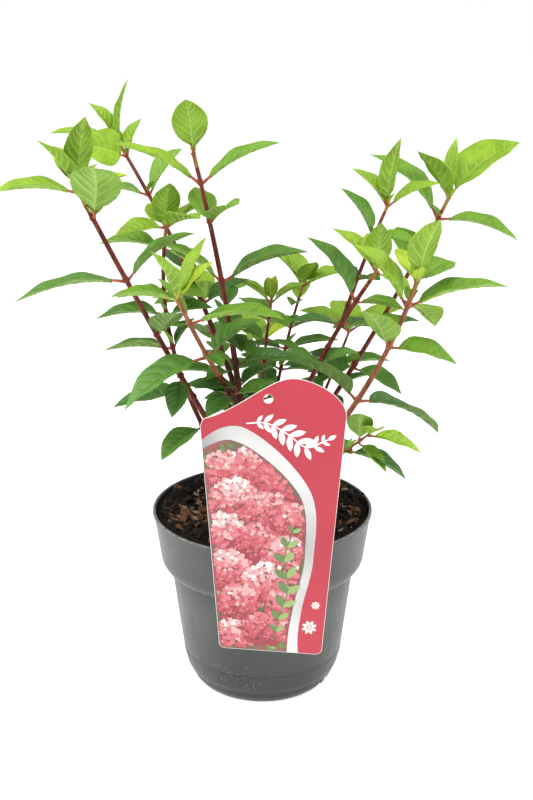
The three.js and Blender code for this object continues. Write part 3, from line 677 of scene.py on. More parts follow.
# Each shoot rises from its foot to its tip and bows out in the middle. Above "leafy" (a share of its way up)
# it carries leaves. A pair of leaves is (share of the way up, turn, rise and reach of the first leaf, rise
# and reach of the opposite one, and how broad the two are if that isn't 1), in degrees and mm, and a reach
# of 0 is a leaf not there.
shoots = {
    "far_left": {
        "foot": (-5, -3, 168), "tip": (-143, -46, 447), "bow": (0, 0, -8), "thick": (2.8, 1.9), "leafy": 0.42,
        "pairs": [
            (0.45, 262, -38, 40, 0, 0), (0.58, 305, 36, 50, 0, 0), (0.745, 190, -7, 91, 34, 66),
            (0.915, 277, 40, 78, 24, 38, 0.95), (0.985, 188, 2, 66, 20, 40),
            (1, 300, 70, 60, 34, 48, 0.72, 0.8), (1, 225, 50, 52, 38, 26, 0.8),
        ],
    },
    "left": {
        "foot": (-6, 3, 158), "tip": (-79, 22, 401), "bow": (-28, 0, 0), "thick": (2.5, 1.5), "leafy": 0.27,
        "pairs": [
            (0.3, 225, -22, 50, 0, 0), (0.42, 181, -11, 66, 0, 0), (0.58, 182, 0, 58, 55, 33),
            (0.7, 182, -4, 60, 10, 40), (0.76, 146, -9, 52, 8, 44), (0.93, 165, 0, 58, -30, 34),
            (1, 205, -3, 46, 24, 50), (1, 304, 17, 54, 20, 40), (1, 273, 70, 42, 60, 36),
        ],
    },
    "tall_centre": {
        "foot": (-18.2, -7.6, 256), "tip": (-55, 6, 464), "bow": (3.5, 0, 0), "thick": (2.7, 1.7),
        "leafy": 0.14,
        "pairs": [
            (0.17, 352, 9, 50, 22, 30), (0.3, 280, -10, 36, 10, 44), (0.5, 357, 21, 76, 31, 62),
            (0.735, 300, 28, 48, 32, 44, 1.1), (0.885, 8, 27, 72, 24, 80, 0.62, 0.75),
            (1, 271, 60, 54, 62, 44),
        ],
    },
    "upper_left": {
        "foot": (-18.5, -7.5, 256), "tip": (-124, 95, 458), "bow": (8, 0, 0), "thick": (2.5, 1.5),
        "leafy": 0.34,
        "pairs": [
            (0.38, 188, 10, 44, 24, 46), (0.5, 110, 10, 52, 5, 40), (0.8, 180, 6, 56, 55, 50),
            (0.95, 232, 22, 46, 60, 36, 1.35), (1, 345, 80, 57, 52, 44, 0.6, 0.9),
            (1, 188, 10, 60, 0, 0, 0.6),
        ],
    },
    "front_left": {
        "foot": (-18, -8, 252), "tip": (-65, -70, 364), "bow": (-3, 0, 0), "thick": (2.3, 1.7), "leafy": 0.12,
        "pairs": [
            (0.14, 236, -12, 38, 0, 0), (0.15, 170, 6, 42, 3, 52), (0.5, 199, -30, 80, 30, 54),
            (0.52, 296, -6, 28, 0, 0), (0.79, 350, 6, 76, 55, 44), (1, 186, 4, 52, 46, 40),
            (1, 234, 55, 54, 50, 56, 0.85, 0.5),
        ],
    },
    "back_centre": {
        "foot": (3.5, 6, 168), "tip": (36, 71, 339), "bow": (-7, 0, 0), "thick": (1.8, 1.1), "leafy": 0.56,
        "pairs": [
            (0.6, 330, 4, 46, 8, 44), (0.7, 350, 10, 48, 0, 40), (0.8, 320, 20, 40, 4, 42),
            (0.92, 75, 20, 34, 10, 30), (1, 345, 22, 42, 46, 40), (1, 295, 50, 34, 52, 36),
        ],
    },
    "back_thin": {
        "foot": (-1.5, 6.5, 172), "tip": (8, 46, 331), "bow": (-4, 0, 0), "thick": (1.7, 1.1), "leafy": 0.5,
        "pairs": [
            (0.55, 256, 4, 44, 16, 32), (0.68, 160, 24, 40, 10, 36), (0.8, 330, -10, 34, 14, 36),
            (0.9, 300, 5, 34, 10, 50), (1, 345, 31, 35, 32, 35), (1, 250, 70, 26, 66, 24),
        ],
    },
    "right_centre": {
        "foot": (6.5, 0, 166), "tip": (94, -5, 370), "bow": (-13, 0, 0), "thick": (2.6, 1.8), "leafy": 0.76,
        "pairs": [
            (0.78, 6, -6, 50, 6, 44), (0.875, 330, -2, 44, 45, 68), (1, 150, 38, 52, -26, 36),
            (1, 285, 78, 44, 50, 36),
        ],
    },
    "right_fork": {
        "foot": (65.5, 2, 320), "tip": (106, 50, 413), "bow": (-2, 0, 0), "thick": (2, 1.4), "leafy": 0.3,
        "pairs": [
            (0.4, 300, 10, 30, 0, 34), (0.74, 170, 55, 50, -6, 38), (1, 175, 46, 44, 25, 48),
            (1, 300, 78, 60, 40, 28, 0.62),
        ],
    },
    "far_right": {
        "foot": (6, 3.5, 171), "tip": (162, 88, 412), "bow": (8, 6, 0), "thick": (2.6, 1.7), "leafy": 0.39,
        "pairs": [
            (0.42, 326, -21, 50, 8, 46), (0.43, 215, -14, 46, 0, 0), (0.56, 200, 4, 44, 2, 40),
            (0.77, 285, -4, 38, 32, 48), (0.93, 163, 41, 82, -11, 72), (1, 25, 32, 84, 52, 56),
            (1, 240, 70, 26, 72, 54, 0.8, 0.5),
        ],
    },
    "front_right": {
        "foot": (7, -4.5, 162), "tip": (119, -72, 378), "bow": (15, 0, 0), "thick": (2.9, 1.9), "leafy": 0.44,
        "pairs": [
            (0.5, 200, 34, 70, -27, 86), (0.73, 262, 52, 58, 30, 40), (0.735, 356, -13, 56, 0, 0),
            (0.9, 0, 10, 82, 50, 66), (0.91, 60, -30, 60, 0, 0), (1, 290, 60, 64, 30, 40, 0.75),
            (1, 58, 5, 60, 0, 0),
        ],
    },
    "low_right": {
        "foot": (7, -6.5, 155), "tip": (86, -62, 249), "bow": (-3, 0, 0), "thick": (1.7, 1), "leafy": 0.78,
        "pairs": [
            (0.82, 350, -24, 54, 0, 0), (0.92, 330, -40, 34, 0, 0), (0.93, 268, 52, 42, 0, 0),
            (1, 3, -21, 48, 0, 0), (1, 293, 27, 34, 0, 0),
        ],
    },
    "rear_left": {
        "foot": (-5, 5.5, 160), "tip": (-53, 105, 315), "bow": (0, 4, -10), "thick": (2, 1.2), "leafy": 0.62,
        "pairs": [
            (0.68, 190, 4, 46, 6, 50), (0.82, 100, 0, 56, 0, 40), (1, 20, 16, 52, 4, 48),
            (1, 100, 20, 54, 40, 44),
        ],
    },
    "rear": {
        "foot": (0, 8, 155), "tip": (-4, 130, 268), "bow": (0, 4, -12), "thick": (2, 1.2), "leafy": 0.62,
        "pairs": [
            (0.7, 10, 6, 54, 4, 52), (0.84, 95, -10, 50, 20, 36), (1, 30, 16, 50, 14, 50),
            (1, 115, 24, 52, 44, 40),
        ],
    },
    "rear_right": {
        "foot": (5, 6, 158), "tip": (79, 100, 289), "bow": (0, 4, -11), "thick": (2, 1.2), "leafy": 0.6,
        "pairs": [
            (0.66, 118, 2, 50, 0, 40), (0.82, 10, 4, 52, 6, 50), (1, 95, 16, 54, 30, 40),
            (1, 0, 24, 50, 24, 50),
        ],
    },
}


# Quadratic curve: (1 - s)^2 start + 2 s (1 - s) middle + s^2 end
def quadratic(start, middle, end, share):
    share = np.asarray(share, float)[..., None]
    return (1 - share) ** 2 * start + 2 * share * (1 - share) * middle + share ** 2 * end


# A shoot's place at a share of its way: its middle point is moved over by twice its bow
def shootPlace(shoot, share):
    foot, tip, bow = (np.array(shoot[key], float) for key in ("foot", "tip", "bow"))
    return quadratic(foot, (foot + tip) / 2 + 2 * bow, tip, share)


# Length of a shoot's curve, in 200 straight steps
def shootLength(shoot):
    steps = shootPlace(shoot, np.linspace(0, 1, 201))
    return float(np.linalg.norm(np.diff(steps, axis=0), axis=1).sum())


# Rings round a path: point = path + radius (cos a across + sin a out), with across = Y x along
def tubePoints(path, radius):
    along = unit(np.gradient(path, axis=0))
    across = unit(np.cross(np.array([0.0, 1.0, 0.0]), along))
    out = np.cross(along, across)
    angles = around(radius.shape[1])[None, :, None]
    ring = np.cos(angles) * across[:, None] + np.sin(angles) * out[:, None]
    return path[:, None] + radius[..., None] * ring


# The trunk: radius = mix(base, neck, s^taper) + flare e^(-flareFade s), with lobes size sin(count a +
# turns s), less fissures |sin(count a / 2 + phase + sway sin(pace s + first))| that run up it, and with
# bell-shaped knots
def makeTrunk(finishes):
    p = trunkSet
    rng = np.random.default_rng(3)
    start = np.array([*p["foot"], soilSet["level"] - p["sunk"]])
    end = np.array([*p["tip"], p["top"]])
    middle = np.array([*p["foot"], (start[2] + end[2]) / 2])
    share = np.linspace(0, p["past"], p["steps"])
    s, angles = share[:, None], around(p["sides"])[None]
    path = quadratic(start, middle, end, share)
    radius = mix(p["base"], p["neck"], np.minimum(s, 1) ** p["taper"])
    radius = radius + p["flare"] * np.exp(-s * p["flareFade"])
    cracks = 0
    for count in p["fissures"]:
        phase, pace, first = rng.uniform(0, 6), rng.uniform(*p["fissurePace"]), rng.uniform(0, 6)
        sway = p["fissureSway"] * np.sin(s * pace + first)
        cracks = cracks + np.abs(np.sin(count * angles / 2 + phase + sway))
    cracks = cracks / len(p["fissures"])
    lobes = sum(size * np.sin(count * angles + turns * s) for size, count, turns in p["lobes"])
    fine = rng.normal(0, p["fine"], (p["steps"], p["sides"]))
    radius = radius * (1 + lobes) - p["fissure"] * (1 - cracks) * (radius / p["base"]) + fine
    for place in p["knots"]:
        beside = (angles - rng.uniform(0, fullTurn) + math.pi) % fullTurn - math.pi
        knot = np.exp(-((s - place) / p["knotLength"]) ** 2) * np.exp(-(beside / p["knotWidth"]) ** 2)
        radius = radius + p["knot"] * knot
    radius = radius * np.where(s > 1, p["pastShare"], 1.0)
    makePiece("trunkBark", tubePoints(path, radius), tubeFaces(p["steps"], p["sides"]), finishes, "bark",
              replaced=("trunk",), sharp=60)


# A stem: radius = mix(thick) slim (1 + foot collar + swollen nodes with a ring below each + ridges + pores)
def stemRadius(shoot, share, length, rng):
    p = boughSet
    s, angles = share[:, None], around(p["sides"])[None]
    radius = mix(*shoot["thick"], s) * mix(1, p["slim"], rising(s, p["slimPace"]))
    apart = p["bareNodes"]
    bare = np.arange(apart * p["firstNode"], shoot["leafy"] * length - p["lastNode"], apart) / length
    places = np.unique(np.round(np.concatenate([bare, [pair[0] for pair in shoot["pairs"]]]), 3))
    away = (s - places[None]) * length
    swell = p["nodeSwell"] * np.exp(-(away / p["nodeLength"]) ** 2)
    swell = swell - p["nodeRing"] * np.exp(-((away + p["ringBelow"]) / p["ringLength"]) ** 2)
    swell = swell.sum(1, keepdims=True).clip(*p["swellRange"])
    collar = p["foot"] * np.exp(-s * length / p["footLength"])
    sway, pace = p["ridgeSway"]
    ridges = p["ridge"] * np.sin(p["ridges"] * angles + sway * np.sin(s * length / pace))
    ridges = ridges + rng.normal(0, p["grain"], ridges.shape)
    pores = p["pore"] * (rng.uniform(0, 1, ridges.shape) < p["poreShare"])
    return radius * (1 + collar + swell + ridges + pores)


# All stems in one mesh, each ring with the bark of its age: old, red or warm, and green near the tip
def makeBoughs(finishes):
    p = boughSet
    rng = np.random.default_rng(8)
    parts, marks = [], []
    woodyMost, woodyLow = p["woodyFade"]
    for name, shoot in shoots.items():
        length = shootLength(shoot)
        rows = max(p["leastRows"], int(length / p["step"]))
        share = np.linspace(0, 1, rows)
        radius = stemRadius(shoot, share, length, rng)
        points = tubePoints(shootPlace(shoot, share), radius).reshape(-1, 3)
        parts.append((points, tubeFaces(rows, p["sides"])))
        age = share[:-1] + rng.uniform(-p["ageJitter"], p["ageJitter"], rows - 1)
        isOld = age < p["woody"] * (woodyMost - shoot["foot"][2] / woodyLow)
        young = np.where(age > p["warm"].get(name, 2), 3, 1)
        kind = np.where(isOld, 0, np.where(age < p["green"], young, 2))
        marks += [np.repeat(kind, p["sides"]), [kind[0]], [kind[-1]]]
    points, faces = joined(parts)
    makePiece("boughBark", points, faces, finishes, "bark", marks=np.concatenate(marks),
              replaced=[f"bough_{name}" for name in shoots], sharp=70)


# Bark with fibres along it and dark blotches over them
def barkFinishes():
    made = []
    for index, (name, (dark, light, roughness, depth)) in enumerate(barkSkins.items()):
        finish = newFinish(name, dark, roughness, **{"Specular IOR Level": 0.22})
        fibre = pattern(finish, 2.6, (1, 1, 9), 4, at=(0, index, 0))
        blotch = pattern(finish, 11, detail=3, at=(index, 0, 2))
        color = colored(finish, fibre, [(0.36, dark), (0.7, light)])
        darkest = tuple(0.55 * value for value in dark)
        color = overlaid(finish, spreadOver(finish, blotch, 0.5, 0.75, 0, 0.35), color, darkest)
        wire(finish, color, "Base Color")
        grained(finish, fibre, roughness=(roughness - 0.1, roughness + 0.15), bump=(depth, 0.5))
        made.append(finish)
    return made


barks = barkFinishes()
makeTrunk([barks[0]])
makeBoughs(barks)
print("trunk and boughs have their bark")

# Leaves follow the source's rule. "reach" is the straight way from stem to tip; petiole, width, quilting,
# teeth and ripples are shares of it.
leafSet = {
    "sunk": 1.5, "petiole": 0.13, "width": 0.56, "base": 0.74, "taper": 1.12,
    "footRadius": 0.95, "tipRadius": 0.12,
    "bendYoung": 4, "bendPerReach": 0.5, "foldYoung": 30, "foldPerReach": 0.2, "cup": 0.28,
    "turnJitter": 6, "rollJitter": 13, "bendJitter": 0.22, "foldJitter": (0.7, 1.3),
    "baseJitter": (0.86, 1.12), "taperJitter": (0.84, 1.14), "widthJitter": (0.94, 1.07),
    "veins": 6, "veinStart": 0.6, "veinSpan": 1.15, "veinLead": 0.33,
    "veinWide": 0.0095, "veinSpread": (1.15, 0.4), "veinDepth": 0.007, "quilt": 0.013,
    "midribDepth": 0.009, "midrib": 0.1,
    "toothPace": (7, 5), "broadPace": 8, "reliefPace": 4, "ripplePace": 3, "thinPace": 6,  # see "rising"
    "tooth": 0.008, "toothSlant": 0.006, "ripple": 0.010, "ripples": 2.4, "sway": 0.035,
    "thick": 0.34, "thickReach": 40, "leastThick": (0.4, 0.35), "rib": 0.85, "ribReach": 60,
    "footRows": ((0.35, 0.5), (0.72, 0.6)), "betweenVeins": (0.22, 0.42, 0.6, 0.8),
    "tipRows": ((0.3, 0.6), (0.6, 0.4), (0.82, 0.2), (1.0, 0.0)),  # shares of the way, and heights
    "across": (-1, -0.8, -0.53, -0.26, -0.045, 0.045, 0.26, 0.53, 0.8, 1),
    "eased": {  # how far single leaves are turned aside, lowered and rolled, in degrees
        ("front_right", 0.73, 0): (-26, 8, 0), ("upper_left", 0.95, 0): (-30, 2, -58),
        ("far_left", 0.745, 0): (0, 0, 8), ("far_right", 0.93, 0): (0, 0, -13),
        ("front_right", 0.5, 180): (0, 0, -14), ("tall_centre", 0.885, 180): (0, 0, -12),
        ("upper_left", 0.8, 180): (0, 0, 22),
    },
    "fresher": {  # how much younger the leaves of a shoot look
        "front_right": 0.12, "low_right": -0.14, "front_left": 0.08, "right_fork": -0.1, "far_right": 0.08,
    },
    "labelRoom": {"middle": 9, "half": 64, "front": -78, "top": 320},
}
tuftSet = {
    "tip": ((13, 60), (9, 72), (5.5, 82)), "tipAt": 0.995, "tipStem": 1.7, "tipTurn": 12,
    "tipLong": (0.8, 1.25), "tipRise": 9, "tipRoll": 12, "tipBend": (10, 0.6), "tipYouth": 1.25,
    "axilShare": 0.3, "axilBelow": 0.97, "axilParent": 34, "axilAt": 0.003, "axilSpread": (-34, 30),
    "axilTurn": 8, "axilRise": (42, 66), "axilReach": (8, 19), "axilRoll": 14, "axilBend": (6, 16),
    "axilYouth": 0.8,
    "innerRise": 8, "innerReach": (30, 43), "innerRoll": 18, "innerBend": (22, 34), "innerYouth": 0.25,
    "innerBroad": (0.95, 1.2), "inner": {  # share of the way up, turn and rise of pairs low inside the crown
        "back_centre": ((0.34, 20, 4), (0.46, 105, 14)), "back_thin": ((0.3, 70, 6), (0.42, 165, 10)),
        "tall_centre": ((0.07, 215, 8), (0.39, 80, 16)), "upper_left": ((0.12, 60, 6), (0.26, 20, 10)),
        "left": ((0.2, 100, 4),), "right_centre": ((0.42, 250, 10), (0.6, 175, 14)),
        "front_right": ((0.3, 120, 8),), "far_right": ((0.26, 100, 10), (0.36, 10, 14)),
        "rear": ((0.4, 60, 10), (0.55, 150, 12)), "rear_left": ((0.4, 20, 10), (0.54, 120, 12)),
        "rear_right": ((0.38, 40, 8), (0.53, 140, 12)),
    },
}
leafTones = {  # upper side, under side, vein above, vein beneath
    "newest": ((0.365, 0.495, 0.026), (0.325, 0.450, 0.034), (0.46, 0.59, 0.07), (0.43, 0.56, 0.09)),
    "young": ((0.250, 0.405, 0.026), (0.220, 0.368, 0.032), (0.33, 0.50, 0.06), (0.34, 0.49, 0.09)),
    "fresh": ((0.152, 0.300, 0.024), (0.205, 0.345, 0.052), (0.23, 0.40, 0.055), (0.31, 0.45, 0.115)),
    "mature": ((0.095, 0.221, 0.028), (0.172, 0.295, 0.064), (0.135, 0.275, 0.048), (0.27, 0.39, 0.115)),
    "deep": ((0.060, 0.158, 0.025), (0.138, 0.242, 0.058), (0.088, 0.200, 0.040), (0.22, 0.33, 0.10)),
}
toneSet = {  # how the tone (0 newest to 4 deep) comes from a leaf's youth, place and size
    "old": 3.8, "youthShift": 3.1, "youthPower": 1.4, "youthMost": 1.3, "spread": 0.42,
    # back is painted shade: leaves further back, up to backShadeDepth mm, take darker tones
    "back": 0.5, "backShadeDepth": 130, "tipRange": (-0.4, 1.4),
    "large": 0.4, "largeFrom": 36, "largeOver": 30, "largeYouth": 0.8, "mottle": (1.16, 0.80),
}
stalkSet = {
    "radius": (1.4, 0.8), "length": 1.35, "rows": 6, "sides": 6, "fullReach": 60, "sizeRange": (0.3, 1.15),
    "sunk": 0.35, "endFrom": 0.9, "endShare": 0.35,  # tones are plain, darker and lighter, and a roughness
    "tonesRed": ((0.30, 0.062, 0.030), (0.25, 0.034, 0.018), (0.41, 0.098, 0.036), 0.42),
    "tonesGreen": ((0.33, 0.36, 0.075), (0.36, 0.26, 0.06), (0.32, 0.44, 0.09), 0.45),
}
# A leaf is one row of a table: its root, turn, rise, reach, roll and bend, youth from 0 (old) to 1 (tip), and
# how broad it is.
leafColumns = ("x", "y", "z", "turn", "rise", "reach", "roll", "bend", "youth", "broad")


# One column of the table of leaves
def leafValue(leaves, name):
    return leaves[:, leafColumns.index(name)]


# The source's repeatable random number
def dice(seed):
    state = (seed * 7919 + 17) & 0xFFFFFFFF

    def roll():
        nonlocal state
        state = (state * 1664525 + 1013904223) & 0xFFFFFFFF
        return state / 4294967296
    return roll


# The larger leaves: one for each reach in the table of shoots
def sourceLeaves():
    p = leafSet
    rows = []
    for index, (name, shoot) in enumerate(shoots.items()):
        roll = dice(index + 1)
        length = shootLength(shoot)
        for share, turn, rise, reach, otherRise, otherReach, *broad in shoot["pairs"]:
            broad = (*broad, 1, 1)[:2]
            for side, up, long, wide in ((0, rise, reach, broad[0]), (180, otherRise, otherReach, broad[1])):
                aside, down, over = p["eased"].get((name, share, side), (0, 0, 0))
                heading = turn + side + aside + (roll() * 2 - 1) * p["turnJitter"]
                tilt = over + (roll() * 2 - 1) * p["rollJitter"]
                bend = (p["bendYoung"] + p["bendPerReach"] * long) * (1 + (roll() * 2 - 1) * p["bendJitter"])
                if long == 0:
                    continue
                root = shootPlace(shoot, share - p["sunk"] / length)
                youth = (share - shoot["leafy"]) / (1 - shoot["leafy"]) + p["fresher"].get(name, 0)
                rows.append((*root, heading, up - down, long, tilt, bend, youth, wide))
    return np.array(rows)


# Small new leaves: crossed pairs that stand up in each tip, pairs low inside the crown, and short ones in the
# axils of some older pairs
def newLeaves():
    p = tuftSet
    rng = np.random.default_rng(21)
    rows = []

    def shaken(most):
        return rng.uniform(-most, most)

    for name, shoot in shoots.items():
        scale = shoot["thick"][1] / p["tipStem"]
        turn = rng.uniform(0, 180)
        for reach, rise in p["tip"]:
            turn += 90 + shaken(p["tipTurn"])
            for side in (0, 180):
                long = reach * scale * rng.uniform(*p["tipLong"])
                rows.append((
                    *shootPlace(shoot, p["tipAt"]), turn + side, rise + shaken(p["tipRise"]), long,
                    shaken(p["tipRoll"]), p["tipBend"][0] + p["tipBend"][1] * long, p["tipYouth"], 1))
        for share, heading, rise in p["inner"].get(name, ()):
            for side in (0, 180):
                rows.append((
                    *shootPlace(shoot, share), heading + side, rise + shaken(p["innerRise"]),
                    rng.uniform(*p["innerReach"]), shaken(p["innerRoll"]), rng.uniform(*p["innerBend"]),
                    p["innerYouth"], rng.uniform(*p["innerBroad"])))
        for share, heading, _, reach, _, other, *_ in shoot["pairs"]:
            for side, long in ((0, reach), (180, other)):
                if share > p["axilBelow"] or long < p["axilParent"] or rng.uniform() > p["axilShare"]:
                    continue
                for spread in p["axilSpread"]:
                    turn = heading + side + spread + shaken(p["axilTurn"])
                    rows.append((
                        *shootPlace(shoot, share + p["axilAt"]), turn, rng.uniform(*p["axilRise"]),
                        rng.uniform(*p["axilReach"]), shaken(p["axilRoll"]), rng.uniform(*p["axilBend"]),
                        p["axilYouth"], 1))
    return np.array(rows)


# New leaves that would come to the label are left out
def clearOfLabel(leaves):
    room = leafSet["labelRoom"]
    ahead, _, _ = leafAxes(*(leafValue(leaves, name) for name in ("turn", "rise", "roll")))
    x, y, z = (leaves[:, :3] + ahead * leafValue(leaves, "reach")[:, None]).T
    return leaves[~((y < room["front"]) & (np.abs(x - room["middle"]) < room["half"]) & (z < room["top"]))]


# Leaf outline: half its width at share u of the blade, (u/w)^base ((1 - u)/(1 - w))^taper, with w where it
# is widest
def halfWidth(u, base, taper):
    widest = base / (base + taper)
    return (u / widest) ** base * ((1 - u) / (1 - widest)) ** taper


# Each leaf's own axes: ahead from stem to tip, up turned about it by its roll, and side = ahead x up
def leafAxes(turn, rise, roll):
    turn, rise, roll = np.radians(turn), np.radians(rise), np.radians(roll)[:, None]
    ahead = turned(np.cos(rise), np.sin(rise), turn)
    up = turned(-np.sin(rise), np.cos(rise), turn)
    up = up * np.cos(roll) + np.cross(ahead, up) * np.sin(roll)
    return ahead, up, np.cross(ahead, up)


# The arc from stem to tip: angle = (2 s - 1) half, centre = root + ahead (reach/2 + R sin angle) + up R
# (cos angle - cos half) with R = reach / (2 sin half), and its normal is ahead sin angle + up cos angle
def leafArc(leaves, share):
    turn, rise, reach, roll, bend = (leafValue(leaves, name) for name in leafColumns[3:8])
    extra = (slice(None),) + (None,) * (share.ndim - 1)
    axes = (leaves[:, :3], *leafAxes(turn, rise, roll))
    root, ahead, up, side = (axis[extra + (slice(None),)] for axis in axes)
    half, reach = np.radians(bend)[extra] / 2, reach[extra]
    radius = reach / (2 * np.sin(half))
    angle = (2 * share - 1) * half
    centre = root + ahead * (reach / 2 + radius * np.sin(angle))[..., None]
    centre = centre + up * (radius * (np.cos(angle) - np.cos(half)))[..., None]
    return centre, ahead * np.sin(angle)[..., None] + up * np.cos(angle)[..., None], side


# Rows of a blade as shares t of its midrib: one each side of every vein and four between veins. Gives each
# row's t, its side of a vein (-1, 1 or 0) and its height between veins, sin(pi x)
def bladeRows():
    p = leafSet
    veins = (np.arange(p["veins"]) + p["veinStart"]) / (p["veins"] + p["veinSpan"])
    step, left = veins[1] - veins[0], 1 - veins[-1]
    rows = [(0.0, 0, 0.0)] + [(veins[0] * part, 0, height) for part, height in p["footRows"]]
    for vein in veins:
        rows += [(vein, -1, 0.0), (vein, 1, 0.0)]
        if vein < veins[-1]:
            rows += [(vein + step * part, 0, math.sin(math.pi * part)) for part in p["betweenVeins"]]
    rows += [(veins[-1] + left * part, 0, height) for part, height in p["tipRows"]]
    return np.array(rows).T


# A blade over (t, v), v from edge to edge: u = t + lead (|v| + v^2) (1 - t) (1 - (1 - t)^3), and its half
# width w = halfWidth(u) reach width / 2, with base, taper and width a little different on each leaf. It lies
# x = v w cos(fold) aside of its arc, and w sin(fold) ((1 + cup) |v| - cup |v|^3) over it, with quilting
# between the veins, a sunk midrib, rippled and toothed edges, and a sway of its tip. Two such skins lie
# "thick" apart.
def bladePoints(leaves, rng):
    p = leafSet

    def drawn(low, high):
        return rng.uniform(low, high, (len(leaves), 1, 1))
    reach, broad = (leafValue(leaves, name)[:, None, None] for name in ("reach", "broad"))
    t, beside, height = (part[None, :, None] for part in bladeRows())
    v = np.array(p["across"], float)[None, None]
    edge = np.abs(v)
    isMidrib = edge < p["midrib"]
    t = np.clip(t + beside * p["veinWide"] * mix(*p["veinSpread"], edge), 0, 1)
    u = t + p["veinLead"] * (edge + edge ** 2) * (1 - t) * (1 - (1 - t) ** 3)
    teeth = np.where(np.arange(t.shape[1]) % 2 == 0, 1.0, -1.0)[None, :, None] * (edge == 1)
    teeth = teeth * rising(u, p["toothPace"][0]) * rising(1 - u, p["toothPace"][1])
    u = np.clip(u + p["toothSlant"] * teeth, 0, 1)
    base, taper = p["base"] * drawn(*p["baseJitter"]), p["taper"] * drawn(*p["taperJitter"])
    wide = reach * p["width"] / 2 * halfWidth(u, base, taper)
    wide = np.maximum(wide, mix(p["footRadius"], p["tipRadius"], u))
    wide = wide * drawn(*p["widthJitter"]) * mix(1, broad, rising(u, p["broadPace"]))
    fold = np.radians(p["foldYoung"] - p["foldPerReach"] * reach) * drawn(*p["foldJitter"])
    x = v * wide * np.cos(fold) + np.sign(v) * teeth * p["tooth"] * reach * 0.5
    lift = wide * np.sin(fold) * ((1 + p["cup"]) * edge - p["cup"] * edge ** 3)
    veined = np.where(beside == 0, p["quilt"] * height, -p["veinDepth"])
    fading = rising(1 - u, p["reliefPace"])
    lift = lift + reach * 4 * edge * (1 - edge) * fading * veined
    lift = lift - p["midribDepth"] * reach * isMidrib * fading
    phase = drawn(0, fullTurn) + np.where(v > 0, drawn(1, 5), 0)
    wave = np.sin(fullTurn * p["ripples"] * u + phase)
    lift = lift + p["ripple"] * reach * edge ** 2 * wave * rising(1 - u, p["ripplePace"])
    centre, normal, side = leafArc(leaves, p["petiole"] + (1 - p["petiole"]) * u)
    sway = rng.normal(0, p["sway"], reach.shape) * reach * u ** 2
    top = centre + side * (x + sway)[..., None] + normal * lift[..., None]
    rib = p["rib"] * (reach / p["ribReach"]) * (1 - u) * isMidrib
    thick = p["thick"] * np.clip(reach / p["thickReach"], p["leastThick"][0], 1) + rib
    thick = thick * np.clip(p["thinPace"] * (1 - u), p["leastThick"][1], 1)
    return np.stack([top, top - normal * thick[..., None]], 1)


# Faces and marks of one blade: 0 upper side, 1 under side, 2 veins above, 3 veins beneath
def bladeFaces():
    _, beside, _ = bladeRows()
    rows, columns = len(beside), len(leafSet["across"])
    size = rows * columns
    upper = gridFaces(rows, columns, flip=True)
    under = gridFaces(rows, columns) + size
    row, place = np.arange(rows), np.arange(columns)
    rims = []
    for line, flip in ((row * columns, True), (row * columns + columns - 1, False), (place, False),
                       (place + (rows - 1) * columns, True)):
        rim = np.stack([line[:-1], line[1:], line[1:] + size, line[:-1] + size], 1)
        rims.append(rim[:, ::-1] if flip else rim)
    cellRow, cellColumn = np.divmod(np.arange((rows - 1) * (columns - 1)), columns - 1)
    isMidrib = cellColumn == (columns - 1) // 2
    isInner = (cellColumn > 0) & (cellColumn < columns - 2)
    isVein = isMidrib | (isInner & (beside[cellRow] == -1) & (beside[np.minimum(cellRow + 1, rows - 1)] == 1))
    rim = np.concatenate(rims)
    marks = np.concatenate([np.where(isVein, 2, 0), np.where(isVein, 3, 1), np.zeros(len(rim), int)])
    return np.concatenate([upper, under, rim]), marks, 2 * size


# A leaf's skin: mottled colour, a gloss that follows it, and fine cells over broader relief
def leafFinish(name, color, roughness, strength, seed):
    finish = newFinish(name, color, roughness, **{
        "Specular IOR Level": 0.34, "Subsurface Weight": 0.18, "Subsurface Scale": 0.0012,
        "Subsurface Radius": (0.7, 1.0, 0.25)})
    light, dark = (tuple(min(1, share * value) for value in color) for share in toneSet["mottle"])
    mottle = pattern(finish, 16, detail=5, at=(seed, 0, 0))
    grained(finish, mottle, [(0.32, dark), (0.5, color), (0.7, light)], (roughness + 0.08, roughness - 0.06))
    cells = relief(finish, pattern(finish, 1.5, kind="Voronoi"), strength, 0.16)
    wire(finish, relief(finish, pattern(finish, 5, detail=4), strength * 0.6, 0.5, cells), "Normal")
    return finish


# Veins keep one crisp colour, with a fibrous gloss and relief
def veinFinish(name, color, roughness):
    finish = newFinish(name, color, roughness, **{
        "Specular IOR Level": 0.3, "Subsurface Weight": 0.15, "Subsurface Scale": 0.001,
        "Subsurface Radius": (0.7, 1.0, 0.25)})
    fibre = pattern(finish, 0.8, detail=4)
    grained(finish, fibre, roughness=(roughness - 0.08, roughness + 0.12), bump=(0.3, 0.1))
    return finish


# Tone of each leaf: old - youthShift youth^youthPower + a random share + back, which is painted shade that
# darkens the leaves towards the back, and more for a large leaf near a tip
def leafTone(leaves, rng):
    p = toneSet
    youth = leafValue(leaves, "youth")
    value = p["old"] - p["youthShift"] * np.clip(youth, 0, p["youthMost"]) ** p["youthPower"]
    value = value + rng.normal(0, p["spread"], len(leaves))
    # Painted shade: leaves further back are darkened by up to back tones
    value = value + p["back"] * np.clip(leafValue(leaves, "y") / p["backShadeDepth"], 0, 1)
    value = np.where(youth > 1.0, np.clip(value, *p["tipRange"]), value)
    large = np.clip((leafValue(leaves, "reach") - p["largeFrom"]) / p["largeOver"], 0, 1)
    value = value + p["large"] * large * (youth > p["largeYouth"])
    return np.clip(np.round(value), 0, len(leafTones) - 1).astype(int)


